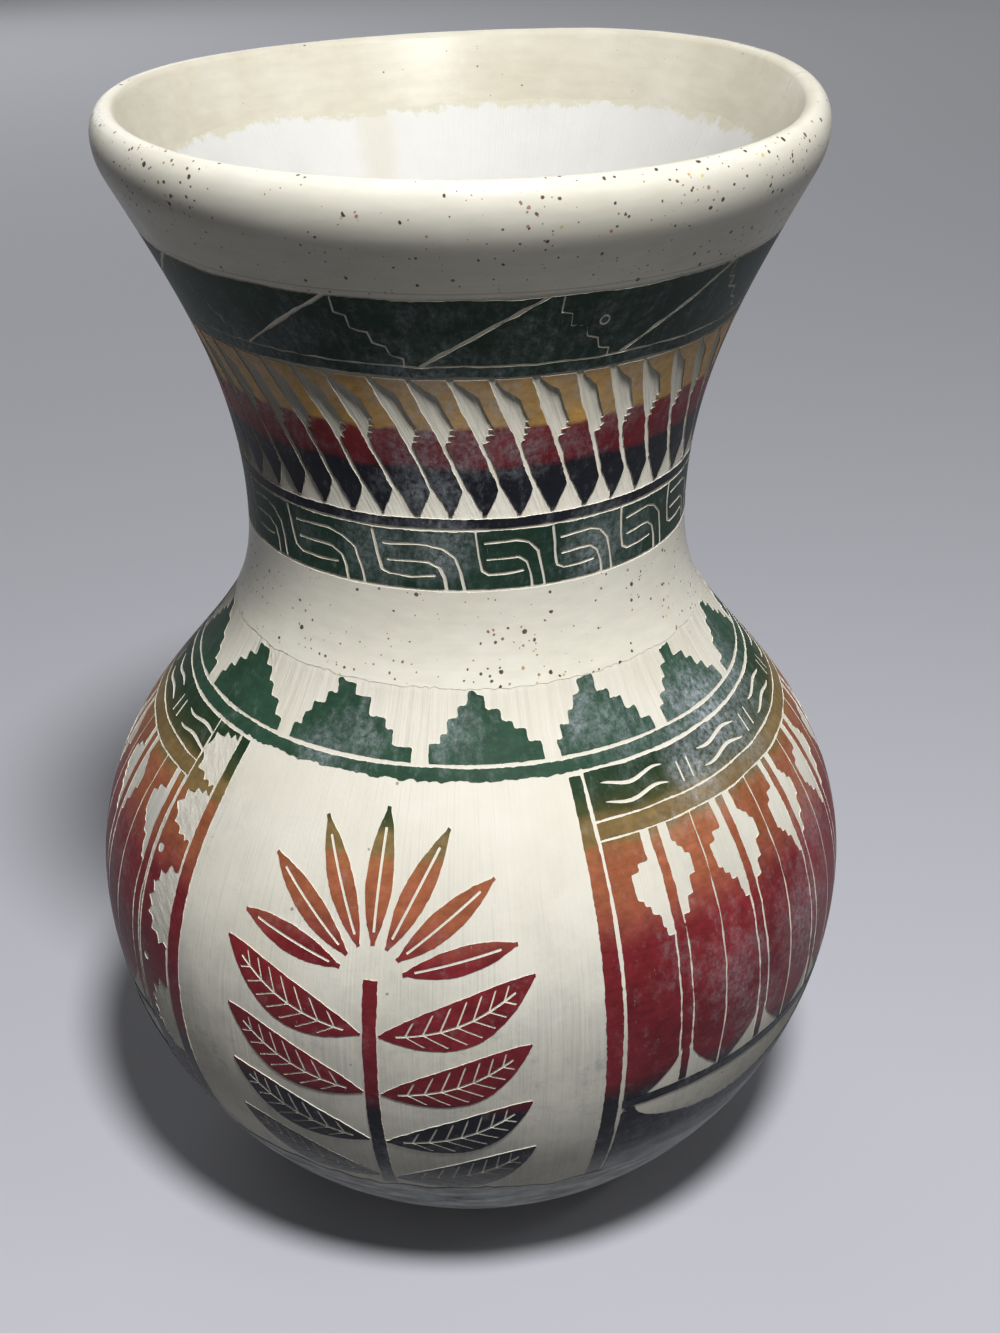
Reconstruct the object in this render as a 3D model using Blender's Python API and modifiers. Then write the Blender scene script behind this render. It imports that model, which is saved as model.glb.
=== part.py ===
"""Etched clay vase: one turned vessel under separate fired coats of glaze and coloured slip.

Metres, +Z up. The origin is the middle of the base, and the picture panel faces -Y.
Places on the surface are given by an angle round the vase, in degrees from the front and
growing to the viewer's right, and by a height above the base.
"""
import math

import bmesh
import bpy
import numpy as np

MM = 0.001

# Turned form: the radius of each section, and its rise above the section below it; the mouth is
# where the lip's round begins
BASE_RADIUS = 31.0 * MM
BELLY_RADIUS = 63.5 * MM
BELLY_RISE = 56.0 * MM
SHOULDER_RADIUS = 54.1 * MM
SHOULDER_RISE = 28.0 * MM
COLLAR_RADIUS = 37.9 * MM
COLLAR_RISE = 22.0 * MM
WAIST_RADIUS = 35.0 * MM
WAIST_RISE = 16.0 * MM
FLARE_RADIUS = 40.4 * MM
FLARE_RISE = 28.0 * MM
MOUTH_RADIUS = 52.4 * MM
MOUTH_RISE = 25.3 * MM
WALL = 6.0 * MM
LIP_ROUND = 7.2 * MM
LIP_INNER_ROUND = 1.7 * MM
FLOOR = 7.0 * MM
FOOT_BEVEL = 0.6 * MM
FOOT_BARE = 3.0 * MM

# Coats: their thickness, and the clearance round each of them
COAT = 0.5 * MM
GAP = 0.3 * MM

# Heights of the bands, from the mouth down
LINING_DEPTH = 4.9 * MM
LIP_BAND = 7.3 * MM
NECK_BAND = 13.0 * MM
FEATHER_OCHRE_BAND = 8.2 * MM
FEATHER_RED_BAND = 6.5 * MM
FEATHER_NAVY_BAND = 8.3 * MM
NAVY_BAND = 2.0 * MM
KEY_BAND = 9.8 * MM
COLLAR_BAND = 14.6 * MM
TERRACE_BAND = 9.2 * MM
STRIPE_BAND = 2.1 * MM
GREEN_BAND = 6.0 * MM
OCHRE_BAND = 2.3 * MM
RED_BAND = 41.8 * MM

# Feather ends: how many go round, and how far each point reaches down
FEATHERS = 46
FEATHER_POINT = 4.6 * MM

# Stepped terraces on the shoulder, and the angles of the bare stems between them, spaced by eye
TERRACE_STEMS = (-69, -40.3, -10.4, 15.5, 41, 66.5, 91.5, 116.4, 141.3, 166.2, 191.1, 216, 241, 266)
TERRACE_STEPS = 4
TERRACE_STEM = 2.2 * MM

# Front panel, left bare, with a coloured strip down each side and a zigzag on its left
PANEL_LEFT = -46.6
PANEL_RIGHT = 18.0
STRIP_WIDTH = 2.8 * MM
ZIGZAG_WIDTH = 8.6 * MM
ZIGZAG_REACH = 6.4 * MM
ZIGZAG_TEETH = 3
PANEL_FLOOR = 25.0 * MM

# Leafy sprig that stands on the panel, with a fan of rays at its head
SPRIG_PAIRS = 4
SPRIG_STEM = 2.2 * MM
LEAF_LENGTH = 25.0 * MM
LEAF_WIDTH = 7.6 * MM
LEAF_PITCH = 11.0 * MM
LEAF_OFFSET = 0.2
LEAF_LIFT = 10.0 * MM
LEAF_SAG = 2.4 * MM
LEAF_TIP = 0.6 * MM
LEAF_FULLNESS = 0.8
FAN_RAYS = 7
FAN_HUB = 5.0 * MM
FAN_LENGTH = 17.0 * MM
FAN_WIDTH = 4.0 * MM
FAN_SPREAD = 150.0

# Facets round a full turn, along the profile, and across a wrapped coat
TURN_STEPS = 36
BODY_PITCH = 8.0 * MM
INSIDE_PITCH = 14.0 * MM
LIP_STEPS = 3
WRAP_ANGLE = 7.0
WRAP_PITCH = 7.5 * MM
PROFILE_SAMPLES = 200
ZIGZAG_COLUMNS = 2
LEAF_COLUMNS = 2
LEAF_ROWS = 6


def cubic_spline(places, values):
    """Smooth curve through the values, level at its first place and free at its last."""
    x = np.array(places)
    y = np.array(values)
    count = len(x)
    step = np.diff(x)
    rise = np.diff(y) / step
    matrix = np.zeros((count, count))
    target = np.zeros(count)
    matrix[0, :2] = 2 * step[0], step[0]
    target[0] = 6 * rise[0]
    matrix[-1, -1] = 1
    for i in range(1, count - 1):
        matrix[i, i - 1:i + 2] = step[i - 1], 2 * (step[i - 1] + step[i]), step[i]
        target[i] = 6 * (rise[i] - rise[i - 1])
    bend = np.linalg.solve(matrix, target)

    def curve(place):
        i = min(max(int(np.searchsorted(x, place)) - 1, 0), count - 2)
        near, far, span = place - x[i], x[i + 1] - place, step[i]
        low = y[i] / span - bend[i] * span / 6
        high = y[i + 1] / span - bend[i + 1] * span / 6
        value = (bend[i] * far ** 3 + bend[i + 1] * near ** 3) / (6 * span) + low * far + high * near
        slope = (bend[i + 1] * near ** 2 - bend[i] * far ** 2) / (2 * span) + high - low
        return float(value), float(slope)

    return curve


RISES = (BELLY_RISE, SHOULDER_RISE, COLLAR_RISE, WAIST_RISE, FLARE_RISE, MOUTH_RISE)
SECTIONS = np.cumsum(RISES)
RADII = (BELLY_RADIUS, SHOULDER_RADIUS, COLLAR_RADIUS, WAIST_RADIUS, FLARE_RADIUS, MOUTH_RADIUS)
MOUTH_HEIGHT = float(SECTIONS[-1])
UPPER = cubic_spline(SECTIONS, RADII)
BELLY_DROP = BELLY_RISE / math.sqrt(1 - (BASE_RADIUS / BELLY_RADIUS) ** 2)


def skin(height):
    """Radius of the finished outside, and its slope, at a height."""
    if height >= BELLY_RISE:
        return UPPER(height)
    level = (height - BELLY_RISE) / BELLY_DROP
    radius = BELLY_RADIUS * math.sqrt(1 - level ** 2)
    return radius, -BELLY_RADIUS ** 2 * level / (BELLY_DROP * radius)


def sunk(height, depth):
    """Point of the profile that lies a depth under the outside, square to it."""
    radius, slope = skin(height)
    size = math.hypot(1, slope)
    return radius - depth / size, height + depth * slope / size


def heights(low, high, pitch):
    """Heights from low to high, spaced evenly along the profile, about a pitch apart."""
    fine = np.linspace(low, high, PROFILE_SAMPLES)
    radii = [skin(height)[0] for height in fine]
    run = np.concatenate([[0], np.cumsum(np.hypot(np.diff(fine), np.diff(radii)))])
    count = max(1, math.ceil(run[-1] / pitch))
    return np.interp(np.linspace(0, run[-1], count + 1), run, fine)


def lip_arc(depth):
    """Round of the lip at a depth under its surface, from the inside over to the outside.

    The inner quarter is round, and the outer one is drawn out down the wall.
    """
    radius, slope = skin(MOUTH_HEIGHT)
    lean = math.atan(slope)
    crest = WALL - LIP_INNER_ROUND
    points = []
    for turn in np.linspace(math.pi, 0, 2 * LIP_STEPS + 1):
        if turn > math.pi / 2:
            across = along = LIP_INNER_ROUND - depth
            middle = LIP_ROUND - LIP_INNER_ROUND
        else:
            across, along = crest - depth, LIP_ROUND - depth
            middle = 0
        into = crest - across * math.cos(turn)
        up = middle + along * math.sin(turn)
        points.append((radius + up * math.sin(lean) - into * math.cos(lean),
                       MOUTH_HEIGHT + up * math.cos(lean) + into * math.sin(lean)))
    return points


def band_edges():
    """Top and bottom height of every band of the outside."""
    sizes = {"lip": LIP_BAND, "neck": NECK_BAND, "feather_ochre": FEATHER_OCHRE_BAND,
             "feather_red": FEATHER_RED_BAND, "feather_navy": FEATHER_NAVY_BAND, "navy": NAVY_BAND,
             "key": KEY_BAND, "collar": COLLAR_BAND, "terrace": TERRACE_BAND, "stripe": STRIPE_BAND,
             "green": GREEN_BAND, "ochre": OCHRE_BAND, "red": RED_BAND}
    edges = {}
    top = MOUTH_HEIGHT
    for name, size in sizes.items():
        edges[name] = (top - GAP / 2, top - size + GAP / 2)
        top -= size
    edges["base"] = (top - GAP / 2, FOOT_BARE + GAP)
    return edges


BANDS = band_edges()
LINING_EDGE = MOUTH_HEIGHT - LINING_DEPTH


def clear_scene():
    for item in list(bpy.data.objects):
        bpy.data.objects.remove(item, do_unlink=True)


def material(name, colour, roughness):
    made = bpy.data.materials.new(name)
    made.use_nodes = True
    shader = made.node_tree.nodes["Principled BSDF"]
    shader.inputs["Base Color"].default_value = (*colour, 1)
    shader.inputs["Roughness"].default_value = roughness
    shader.inputs["Metallic"].default_value = 0
    return made


CLAY = ("fired_clay", (0.80, 0.77, 0.68), 0.8)
GLAZE = ("speckled_glaze", (0.72, 0.68, 0.55), 0.25)
GREEN = ("green_slip", (0.025, 0.07, 0.045), 0.5)
OCHRE = ("ochre_slip", (0.55, 0.26, 0.04), 0.5)
RED = ("red_slip", (0.24, 0.035, 0.03), 0.5)
NAVY = ("navy_slip", (0.03, 0.035, 0.06), 0.5)


def add_object(name, bm, finish):
    """Put a mesh into the vase's collection under its node's name."""
    mesh = bpy.data.meshes.new(name)
    bm.to_mesh(mesh)
    bm.free()
    item = bpy.data.objects.new(name, mesh)
    made = bpy.data.materials.get(finish[0])
    mesh.materials.append(made or material(*finish))
    bpy.data.collections["vase"].objects.link(item)
    return item


def turned(name, profile, finish):
    """Turn an open profile round the Z axis."""
    bm = bmesh.new()
    points = [bm.verts.new((radius, 0, height)) for radius, height in profile]
    for first, second in zip(points, points[1:]):
        bm.edges.new((first, second))
    item = add_object(name, bm, finish)
    screw = item.modifiers.new("turn", "SCREW")
    screw.steps = TURN_STEPS
    screw.render_steps = TURN_STEPS
    screw.use_merge_vertices = True
    screw.merge_threshold = 0.00001
    screw.use_smooth_shade = True
    return item


def thicken(item):
    """Give a coat its thickness, inwards from the finished surface."""
    solid = item.modifiers.new("coat", "SOLIDIFY")
    solid.thickness = COAT
    solid.offset = -1
    return item


def clay_body():
    """The vessel itself, cut back under every coat and bare at its foot and inside."""
    under = COAT + GAP
    inside = [sunk(height, WALL) for height in heights(0, LINING_EDGE, INSIDE_PITCH)]
    wall = [point for point in inside if point[1] > FLOOR + FOOT_BEVEL]
    below = [point for point in inside if point not in wall][-1]
    share = (FLOOR - below[1]) / (wall[0][1] - below[1])
    corner = below[0] + share * (wall[0][0] - below[0])
    profile = [(0, FLOOR), (corner, FLOOR)] + wall
    profile += [sunk(LINING_EDGE, WALL - under)]
    profile += lip_arc(under)
    outside = heights(FOOT_BARE, MOUTH_HEIGHT, BODY_PITCH)[::-1][1:]
    profile += [sunk(height, under) for height in outside]
    profile += [sunk(FOOT_BARE, 0), sunk(FOOT_BEVEL, 0), (BASE_RADIUS - FOOT_BEVEL, 0), (0, 0)]
    return turned("clay_body", profile, CLAY)


def lip_glaze():
    """Glaze that lines the mouth, rolls over the lip and ends above the neck band."""
    profile = [sunk(LINING_EDGE + GAP, WALL)]
    profile += lip_arc(0)
    low = BANDS["lip"][1]
    profile += [sunk(height, 0) for height in heights(low, MOUTH_HEIGHT, WRAP_PITCH)[::-1][1:]]
    return thicken(turned("lip_glaze", profile, GLAZE))


def turned_coat(name, band, finish):
    """Coat that goes all the way round, over one band."""
    high, low = BANDS[band]
    profile = [sunk(height, 0) for height in heights(low, high, WRAP_PITCH)[::-1]]
    return thicken(turned(name, profile, finish))


def on_skin(angle, height):
    """Point of the finished outside at an angle from the front and a height."""
    radius = skin(height)[0]
    turn = math.radians(angle)
    return radius * math.sin(turn), -radius * math.cos(turn), height


def wide(size, height):
    """Angle that a width takes up at a height."""
    return math.degrees(size / skin(height)[0])


def wrapped(name, columns, rows, place, finish, keep=None):
    """Coat made of a flat grid laid round the vase.

    place gives a grid point's angle and height, and keep says which cells are there.
    """
    bm = bmesh.new()
    bmesh.ops.create_grid(bm, x_segments=columns, y_segments=rows, size=0.5)
    if keep:
        spare = []
        for cell in bm.faces:
            middle = cell.calc_center_median()
            if not keep(int((middle.x + 0.5) * columns), int((middle.y + 0.5) * rows)):
                spare.append(cell)
        bmesh.ops.delete(bm, geom=spare, context="FACES")
    for point in bm.verts:
        point.co = on_skin(*place(point.co.x + 0.5, point.co.y + 0.5))
    bmesh.ops.remove_doubles(bm, verts=bm.verts, dist=GAP / 10)
    return thicken(add_object(name, bm, finish))


def feather_tips():
    """Ring of dark feather ends, pointed at its lower edge."""
    high, low = BANDS["feather_navy"]
    columns = 2 * FEATHERS

    def place(u, v):
        column = round(u * columns)
        foot = low + (0 if column % 2 else FEATHER_POINT)
        return 360 * u, foot + v * (high - foot)

    return wrapped("feather_navy", columns, 1, place, NAVY)


def terraces():
    """Stepped terraces round the shoulder, parted by narrow stems of bare clay."""
    high, low = BANDS["terrace"]
    columns = 2 * TERRACE_STEPS - 1
    half = wide(TERRACE_STEM / 2, low)

    def keep(column, row):
        return row <= min(column, columns - 1 - column)

    for i, left in enumerate(TERRACE_STEMS):
        right = TERRACE_STEMS[i + 1] if i + 1 < len(TERRACE_STEMS) else TERRACE_STEMS[0] + 360

        def place(u, v):
            return left + half + u * (right - left - 2 * half), low + v * (high - low)

        wrapped(f"terrace_{i + 1:02d}", columns, TERRACE_STEPS, place, GREEN, keep)


def frieze_start(height):
    return PANEL_RIGHT + wide(STRIP_WIDTH + GAP, height)


def frieze_end(height):
    return 360 + PANEL_LEFT - wide(STRIP_WIDTH + ZIGZAG_WIDTH + 2 * GAP, height)


def frieze_coat(name, band, finish):
    """Coat of one band of the frieze, from the panel's right round the back to its left."""
    high, low = BANDS[band]
    columns = math.ceil((frieze_end(low) - frieze_start(low)) / WRAP_ANGLE)
    levels = heights(low, high, WRAP_PITCH)
    rows = len(levels) - 1

    def place(u, v):
        height = levels[round(v * rows)]
        start = frieze_start(height)
        return start + u * (frieze_end(height) - start), height

    return wrapped(name, columns, rows, place, finish)


def panel_strips():
    """Coloured strip down each side of the panel."""
    high = BANDS["green"][0]
    low = PANEL_FLOOR + GAP
    levels = heights(low, high, WRAP_PITCH)
    rows = len(levels) - 1

    def left(u, v):
        height = levels[round(v * rows)]
        return PANEL_LEFT - wide(STRIP_WIDTH * (1 - u), height), height

    def right(u, v):
        height = levels[round(v * rows)]
        return PANEL_RIGHT + wide(STRIP_WIDTH * u, height), height

    wrapped("panel_strip_left", 1, rows, left, RED)
    wrapped("panel_strip_right", 1, rows, right, RED)


def zigzag_slip():
    """Column with a toothed edge, between the left strip and the frieze."""
    high = BANDS["green"][0]
    low = PANEL_FLOOR + GAP
    rows = 2 * ZIGZAG_TEETH * math.ceil((high - low) / (2 * ZIGZAG_TEETH * WRAP_PITCH))

    def place(u, v):
        height = low + v * (high - low)
        notch = ZIGZAG_REACH * abs(2 * ZIGZAG_TEETH * v % 2 - 1)
        right = STRIP_WIDTH + GAP + notch
        left = STRIP_WIDTH + GAP + ZIGZAG_WIDTH
        return PANEL_LEFT - wide(left + u * (right - left), height), height

    return wrapped("zigzag_slip", ZIGZAG_COLUMNS, rows, place, RED)


def leaf(name, foot, tip, sag, width, finish):
    """Leaf from its foot to its tip, both as sideways distance and height on the panel."""
    middle = (PANEL_LEFT + PANEL_RIGHT) / 2
    run = (tip[0] - foot[0], tip[1] - foot[1])
    length = math.hypot(*run)
    across = (-run[1] / length, run[0] / length)

    def place(u, v):
        swell = max(math.sin(math.pi * v) ** LEAF_FULLNESS * width, LEAF_TIP)
        side = swell * (0.5 - u) + sag * math.sin(math.pi * v)
        height = foot[1] + v * run[1] + side * across[1]
        shift = foot[0] + v * run[0] + side * across[0]
        return middle + wide(shift, height), height

    return wrapped(name, LEAF_COLUMNS, LEAF_ROWS, place, finish)


def panel_sprig():
    """Stem with pairs of leaves and a fan of rays at its head."""
    foot = PANEL_FLOOR + GAP
    head = foot + LEAF_PITCH * SPRIG_PAIRS
    edge = SPRIG_STEM / 2 + GAP

    def stem(u, v):
        height = foot + v * (head - foot)
        return (PANEL_LEFT + PANEL_RIGHT) / 2 + wide(SPRIG_STEM * (u - 0.5), height), height

    wrapped("sprig_stem", 1, 2 * SPRIG_PAIRS, stem, RED)
    reach = math.sqrt(LEAF_LENGTH ** 2 - LEAF_LIFT ** 2)
    for i in range(SPRIG_PAIRS):
        base = foot + LEAF_PITCH * (i + LEAF_OFFSET)
        for side, word in ((-1, "left"), (1, "right")):
            start = (side * edge, base)
            end = (side * (edge + reach), base + LEAF_LIFT)
            leaf(f"sprig_leaf_{word}_{i + 1}", start, end, -side * LEAF_SAG, LEAF_WIDTH, RED)
    spread = math.radians(FAN_SPREAD) / (FAN_RAYS - 1)
    for i in range(FAN_RAYS):
        turn = spread * (i - (FAN_RAYS - 1) / 2)
        inner = (FAN_HUB * math.sin(turn), head + FAN_HUB * math.cos(turn))
        outer = ((FAN_HUB + FAN_LENGTH) * math.sin(turn), head + (FAN_HUB + FAN_LENGTH) * math.cos(turn))
        leaf(f"sprig_ray_{i + 1}", inner, outer, 0, FAN_WIDTH, GREEN)


def base_slip():
    """Dark coat round the foot, cut away where the panel and its strips come down."""
    high, low = BANDS["base"]
    bottom = list(heights(low, PANEL_FLOOR, WRAP_PITCH))
    levels = bottom + list(heights(PANEL_FLOOR, high, WRAP_PITCH))[1:]
    behind = math.ceil((frieze_end(high) - frieze_start(high)) / WRAP_ANGLE)
    front = math.ceil(360 / WRAP_ANGLE) - behind
    columns = behind + front

    def place(u, v):
        height = levels[round(v * (len(levels) - 1))]
        start, end = frieze_start(height), frieze_end(height)
        column = u * columns
        angle = start + min(column / behind, 1) * (end - start)
        angle += max(column - behind, 0) / front * (360 + start - end)
        return angle, height

    def keep(column, row):
        return column < behind or row < len(bottom) - 1

    return wrapped("base_slip", columns, len(levels) - 1, place, NAVY, keep)


def build():
    clear_scene()
    bpy.context.scene.collection.children.link(bpy.data.collections.new("vase"))
    clay_body()
    lip_glaze()
    turned_coat("neck_slip", "neck", GREEN)
    turned_coat("feather_ochre", "feather_ochre", OCHRE)
    turned_coat("feather_red", "feather_red", RED)
    feather_tips()
    turned_coat("navy_stripe", "navy", NAVY)
    turned_coat("key_slip", "key", GREEN)
    turned_coat("collar_glaze", "collar", GLAZE)
    terraces()
    turned_coat("shoulder_stripe", "stripe", GREEN)
    frieze_coat("frieze_green", "green", GREEN)
    frieze_coat("frieze_ochre", "ochre", OCHRE)
    frieze_coat("frieze_red", "red", RED)
    panel_strips()
    zigzag_slip()
    panel_sprig()
    base_slip()


build()
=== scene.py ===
"""Looks of the etched clay vase: clay, glaze and etched slip round the CAD frame, with camera and light.

Places on the surface are given by an angle round the vase, in degrees from the front and growing
to the viewer's right, and by a height above the base. Surface sizes are in millimetres.
"""
import math

import bmesh
import bpy
import numpy as np
from mathutils import Matrix, Vector
from mathutils.geometry import delaunay_2d_cdt


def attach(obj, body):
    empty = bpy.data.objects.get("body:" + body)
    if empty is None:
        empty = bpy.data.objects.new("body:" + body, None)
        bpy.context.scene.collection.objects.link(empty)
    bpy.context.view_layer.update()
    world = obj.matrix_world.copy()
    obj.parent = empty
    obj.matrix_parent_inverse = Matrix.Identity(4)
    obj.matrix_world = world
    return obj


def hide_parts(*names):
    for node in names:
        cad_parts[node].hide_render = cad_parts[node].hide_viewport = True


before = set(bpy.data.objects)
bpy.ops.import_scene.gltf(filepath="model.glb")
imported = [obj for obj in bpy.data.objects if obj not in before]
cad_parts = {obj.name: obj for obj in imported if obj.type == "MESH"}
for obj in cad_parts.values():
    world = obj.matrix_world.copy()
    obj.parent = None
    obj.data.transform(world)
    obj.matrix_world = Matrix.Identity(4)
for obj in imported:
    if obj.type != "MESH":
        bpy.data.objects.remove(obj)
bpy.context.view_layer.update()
MM = 0.001

# Turned form: heights of the sections and their radii, from the belly to where the lip's round begins
SECTIONS = np.array([56, 84, 106, 122, 150, 175.3])
RADII = np.array([63.5, 54.1, 37.9, 35.0, 40.4, 52.4])
BASE_RADIUS = 31.0
WALL = 6.0
LIP_ROUND = 7.2
LIP_INNER_ROUND = 1.7
FLOOR = 7.0
FOOT_BARE = 3.0
FOOT_BEVEL = 0.6
MOUTH = SECTIONS[-1]

# Glaze: its lower edge and the line scored above that, drawn only as a painted dark line of shade, where it
# ends inside by angle, and a drip
LIP_EDGE = 168.25
SEAM_HEIGHT = 168.95
INSIDE_EDGE = [(-180, 170.1), (-170, 169.8), (-159, 169.7), (-148, 169.8), (-139, 170.8), (-128, 170.6),
               (-117, 170.8), (112, 171.0), (147, 170.7), (163, 170.4), (180, 170.1)]
DRIP_ANGLE = -160.5
DRIP_WIDTH = 3.8
DRIP_END = 140

# Heights between which the clay is scooped out between the feathers
SCOOPED = (131.5, 155.5)

# How far the mouth rises above its level, by angle
MOUTH_LIFT = [(-180, 0.0), (-165, -0.35), (-150, -0.45), (-135, -0.25), (-120, 0.1), (-105, 0.35),
              (-90, 0.4), (-70, 0.25), (-40, 0.0), (40, 0.0), (65, 0.3), (80, 0.9), (95, 1.6), (110, 2.0),
              (125, 2.0), (140, 1.7), (153, 1.25), (166, 0.55), (180, 0.0)]
LIFT_START = 150
LIFT_REACH = 34

# Relief: how far the clay lies under the coats, and how far the coats reach into it
SUNK = 0.12
EMBED = 0.06
LIP_COAT = 0.15
LIP_EMBED = 0.4

# Meshes: sides of the turned ones, and for the coats the raster's cells, how far an outline may be off,
# its longest step, the pitch of the points between the outlines and their room to an edge
VESSEL_SIDES = 480
LIP_SIDES = 540
COARSE_CELL = 0.17
CELL = 0.15
FINE_CELL = 0.13
FINEST_CELL = 0.12
OUTLINE_SLACK = 0.025
OUTLINE_STEP = 2.0
LATTICE = 2.2
EDGE_ROOM = 0.35

# Front panel and its strips, as angles
PANEL_LEFT = -46.6
PANEL_RIGHT = 18.0
STRIP = 2.5
FRIEZE_START = 21.2
FRIEZE_END = 302.6
PANEL_FLOOR = 25.0


# Profile


def spline_bends():
    """Second derivatives of a smooth curve through the sections, level at the belly, free at the mouth."""
    step = np.diff(SECTIONS)
    rise = np.diff(RADII) / step
    count = len(SECTIONS)
    matrix = np.zeros((count, count))
    target = np.zeros(count)
    matrix[0, :2] = 2 * step[0], step[0]
    target[0] = 6 * rise[0]
    matrix[-1, -1] = 1
    for i in range(1, count - 1):
        matrix[i, i - 1:i + 2] = step[i - 1], 2 * (step[i - 1] + step[i]), step[i]
        target[i] = 6 * (rise[i] - rise[i - 1])
    return np.linalg.solve(matrix, target)


BENDS = spline_bends()
BELLY_DROP = SECTIONS[0] / math.sqrt(1 - (BASE_RADIUS / RADII[0]) ** 2)


def skin(height):
    """Radius of the finished outside, and its slope, at each height."""
    height = np.asarray(height, float)
    i = np.clip(np.searchsorted(SECTIONS, height) - 1, 0, len(SECTIONS) - 2)
    span = SECTIONS[i + 1] - SECTIONS[i]
    near = height - SECTIONS[i]
    far = SECTIONS[i + 1] - height
    low = RADII[i] / span - BENDS[i] * span / 6
    high = RADII[i + 1] / span - BENDS[i + 1] * span / 6
    radius = (BENDS[i] * far ** 3 + BENDS[i + 1] * near ** 3) / (6 * span) + low * far + high * near
    slope = (BENDS[i + 1] * near ** 2 - BENDS[i] * far ** 2) / (2 * span) + high - low
    level = np.clip((height - SECTIONS[0]) / BELLY_DROP, -0.99, 0)
    round_radius = RADII[0] * np.sqrt(1 - level ** 2)
    round_slope = -RADII[0] ** 2 * level / (BELLY_DROP * round_radius)
    belly = height < SECTIONS[0]
    return np.where(belly, round_radius, radius), np.where(belly, round_slope, slope)


def sunk(height, depth):
    """Radius and height of the profile at a depth under the outside, square to it."""
    radius, slope = skin(height)
    size = np.hypot(1, slope)
    return radius - depth / size, height + depth * slope / size


def read_off(value, table):
    """Values read from a table of rising places and what holds there."""
    return np.interp(value, *zip(*table))


def eased(share):
    """Share from 0 to 1 that starts and ends gently."""
    return share * share * (3 - 2 * share)


def around(angle, radius, height):
    """Points in metres from angles, radii and heights, with the mouth's hand-made lift."""
    turn = np.radians(angle)
    lift = read_off(wrap(angle), MOUTH_LIFT) * eased(np.clip((height - LIFT_START) / LIFT_REACH, 0, 1))
    return np.stack([radius * np.sin(turn), -radius * np.cos(turn), height + lift], -1) * MM


def facing(angle, height):
    """Outward directions of the finished outside."""
    slope = skin(height)[1]
    size = np.hypot(1, slope)
    turn = np.radians(angle)
    return np.stack([np.sin(turn) / size, -np.cos(turn) / size, -slope / size], -1)


def degree(height):
    """Length of one degree round the vase at a height."""
    return skin(height)[0] * math.pi / 180


# Hand-made unevenness


def grain(angle, height, size, seed):
    """Smooth noise from -1 to 1 over the surface, closed round the back, with bumps about a size apart."""
    count = max(3, round(360 / size))
    table = np.random.default_rng(seed).uniform(-1, 1, (count, int(220 / size) + 3))
    u = np.mod(angle, 360) / 360 * count
    v = np.clip(height, 0, 210) / size
    i = np.floor(u).astype(int)
    j = np.floor(v).astype(int)
    s = eased(u - i)
    t = eased(v - j)
    i = i % count
    k = (i + 1) % count
    low = table[i, j] * (1 - s) + table[k, j] * s
    high = table[i, j + 1] * (1 - s) + table[k, j + 1] * s
    return low * (1 - t) + high * t


def ragged(angle, height, amount=1.0):
    """Unevenness of an etched edge."""
    rough = 0.09 * grain(angle, height, 3.1, 11) + 0.07 * grain(angle, height, 1.1, 12)
    return amount * (rough + 0.09 * grain(angle, height, 0.5, 13))


# Flat shapes, as distances that are positive inside


def stroke(x, y, points, width):
    """Distance inside a line of some width through points."""
    best = np.full(np.shape(x), np.inf)
    for (x0, y0), (x1, y1) in zip(points, points[1:]):
        run, rise = x1 - x0, y1 - y0
        share = np.clip(((x - x0) * run + (y - y0) * rise) / (run * run + rise * rise), 0, 1)
        best = np.minimum(best, np.hypot(x - x0 - share * run, y - y0 - share * rise))
    return width / 2 - best


def between(value, low, high):
    return np.minimum(value - low, high - value)


def union(*shapes):
    return np.maximum.reduce(shapes)


def common(*shapes):
    return np.minimum.reduce(np.broadcast_arrays(*shapes))


def cut(shape, *holes):
    for hole in holes:
        shape = np.minimum(shape, -hole)
    return shape


def soften(shape, passes):
    """Shape with its corners rounded."""
    for _ in range(passes):
        wide = np.pad(shape, 1, mode="edge")
        wide = (wide[:-2] + 2 * wide[1:-1] + wide[2:]) / 4
        shape = (wide[:, :-2] + 2 * wide[:, 1:-1] + wide[:, 2:]) / 4
    return shape


def wrap(angle):
    """Angle brought to the half turn on each side of the front."""
    return np.mod(angle + 180, 360) - 180


def repeat(angle, start, pitch):
    """Angle from the nearest of a row of marks, and which mark that is."""
    index = np.round((angle - start) / pitch)
    return angle - start - index * pitch, index.astype(int)


def shaken(index, amount, seed):
    """Small steady shift for each mark of a row."""
    table = np.random.default_rng(seed).uniform(-amount, amount, 97)
    return table[np.mod(index, 97)]


# Etched coats


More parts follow.
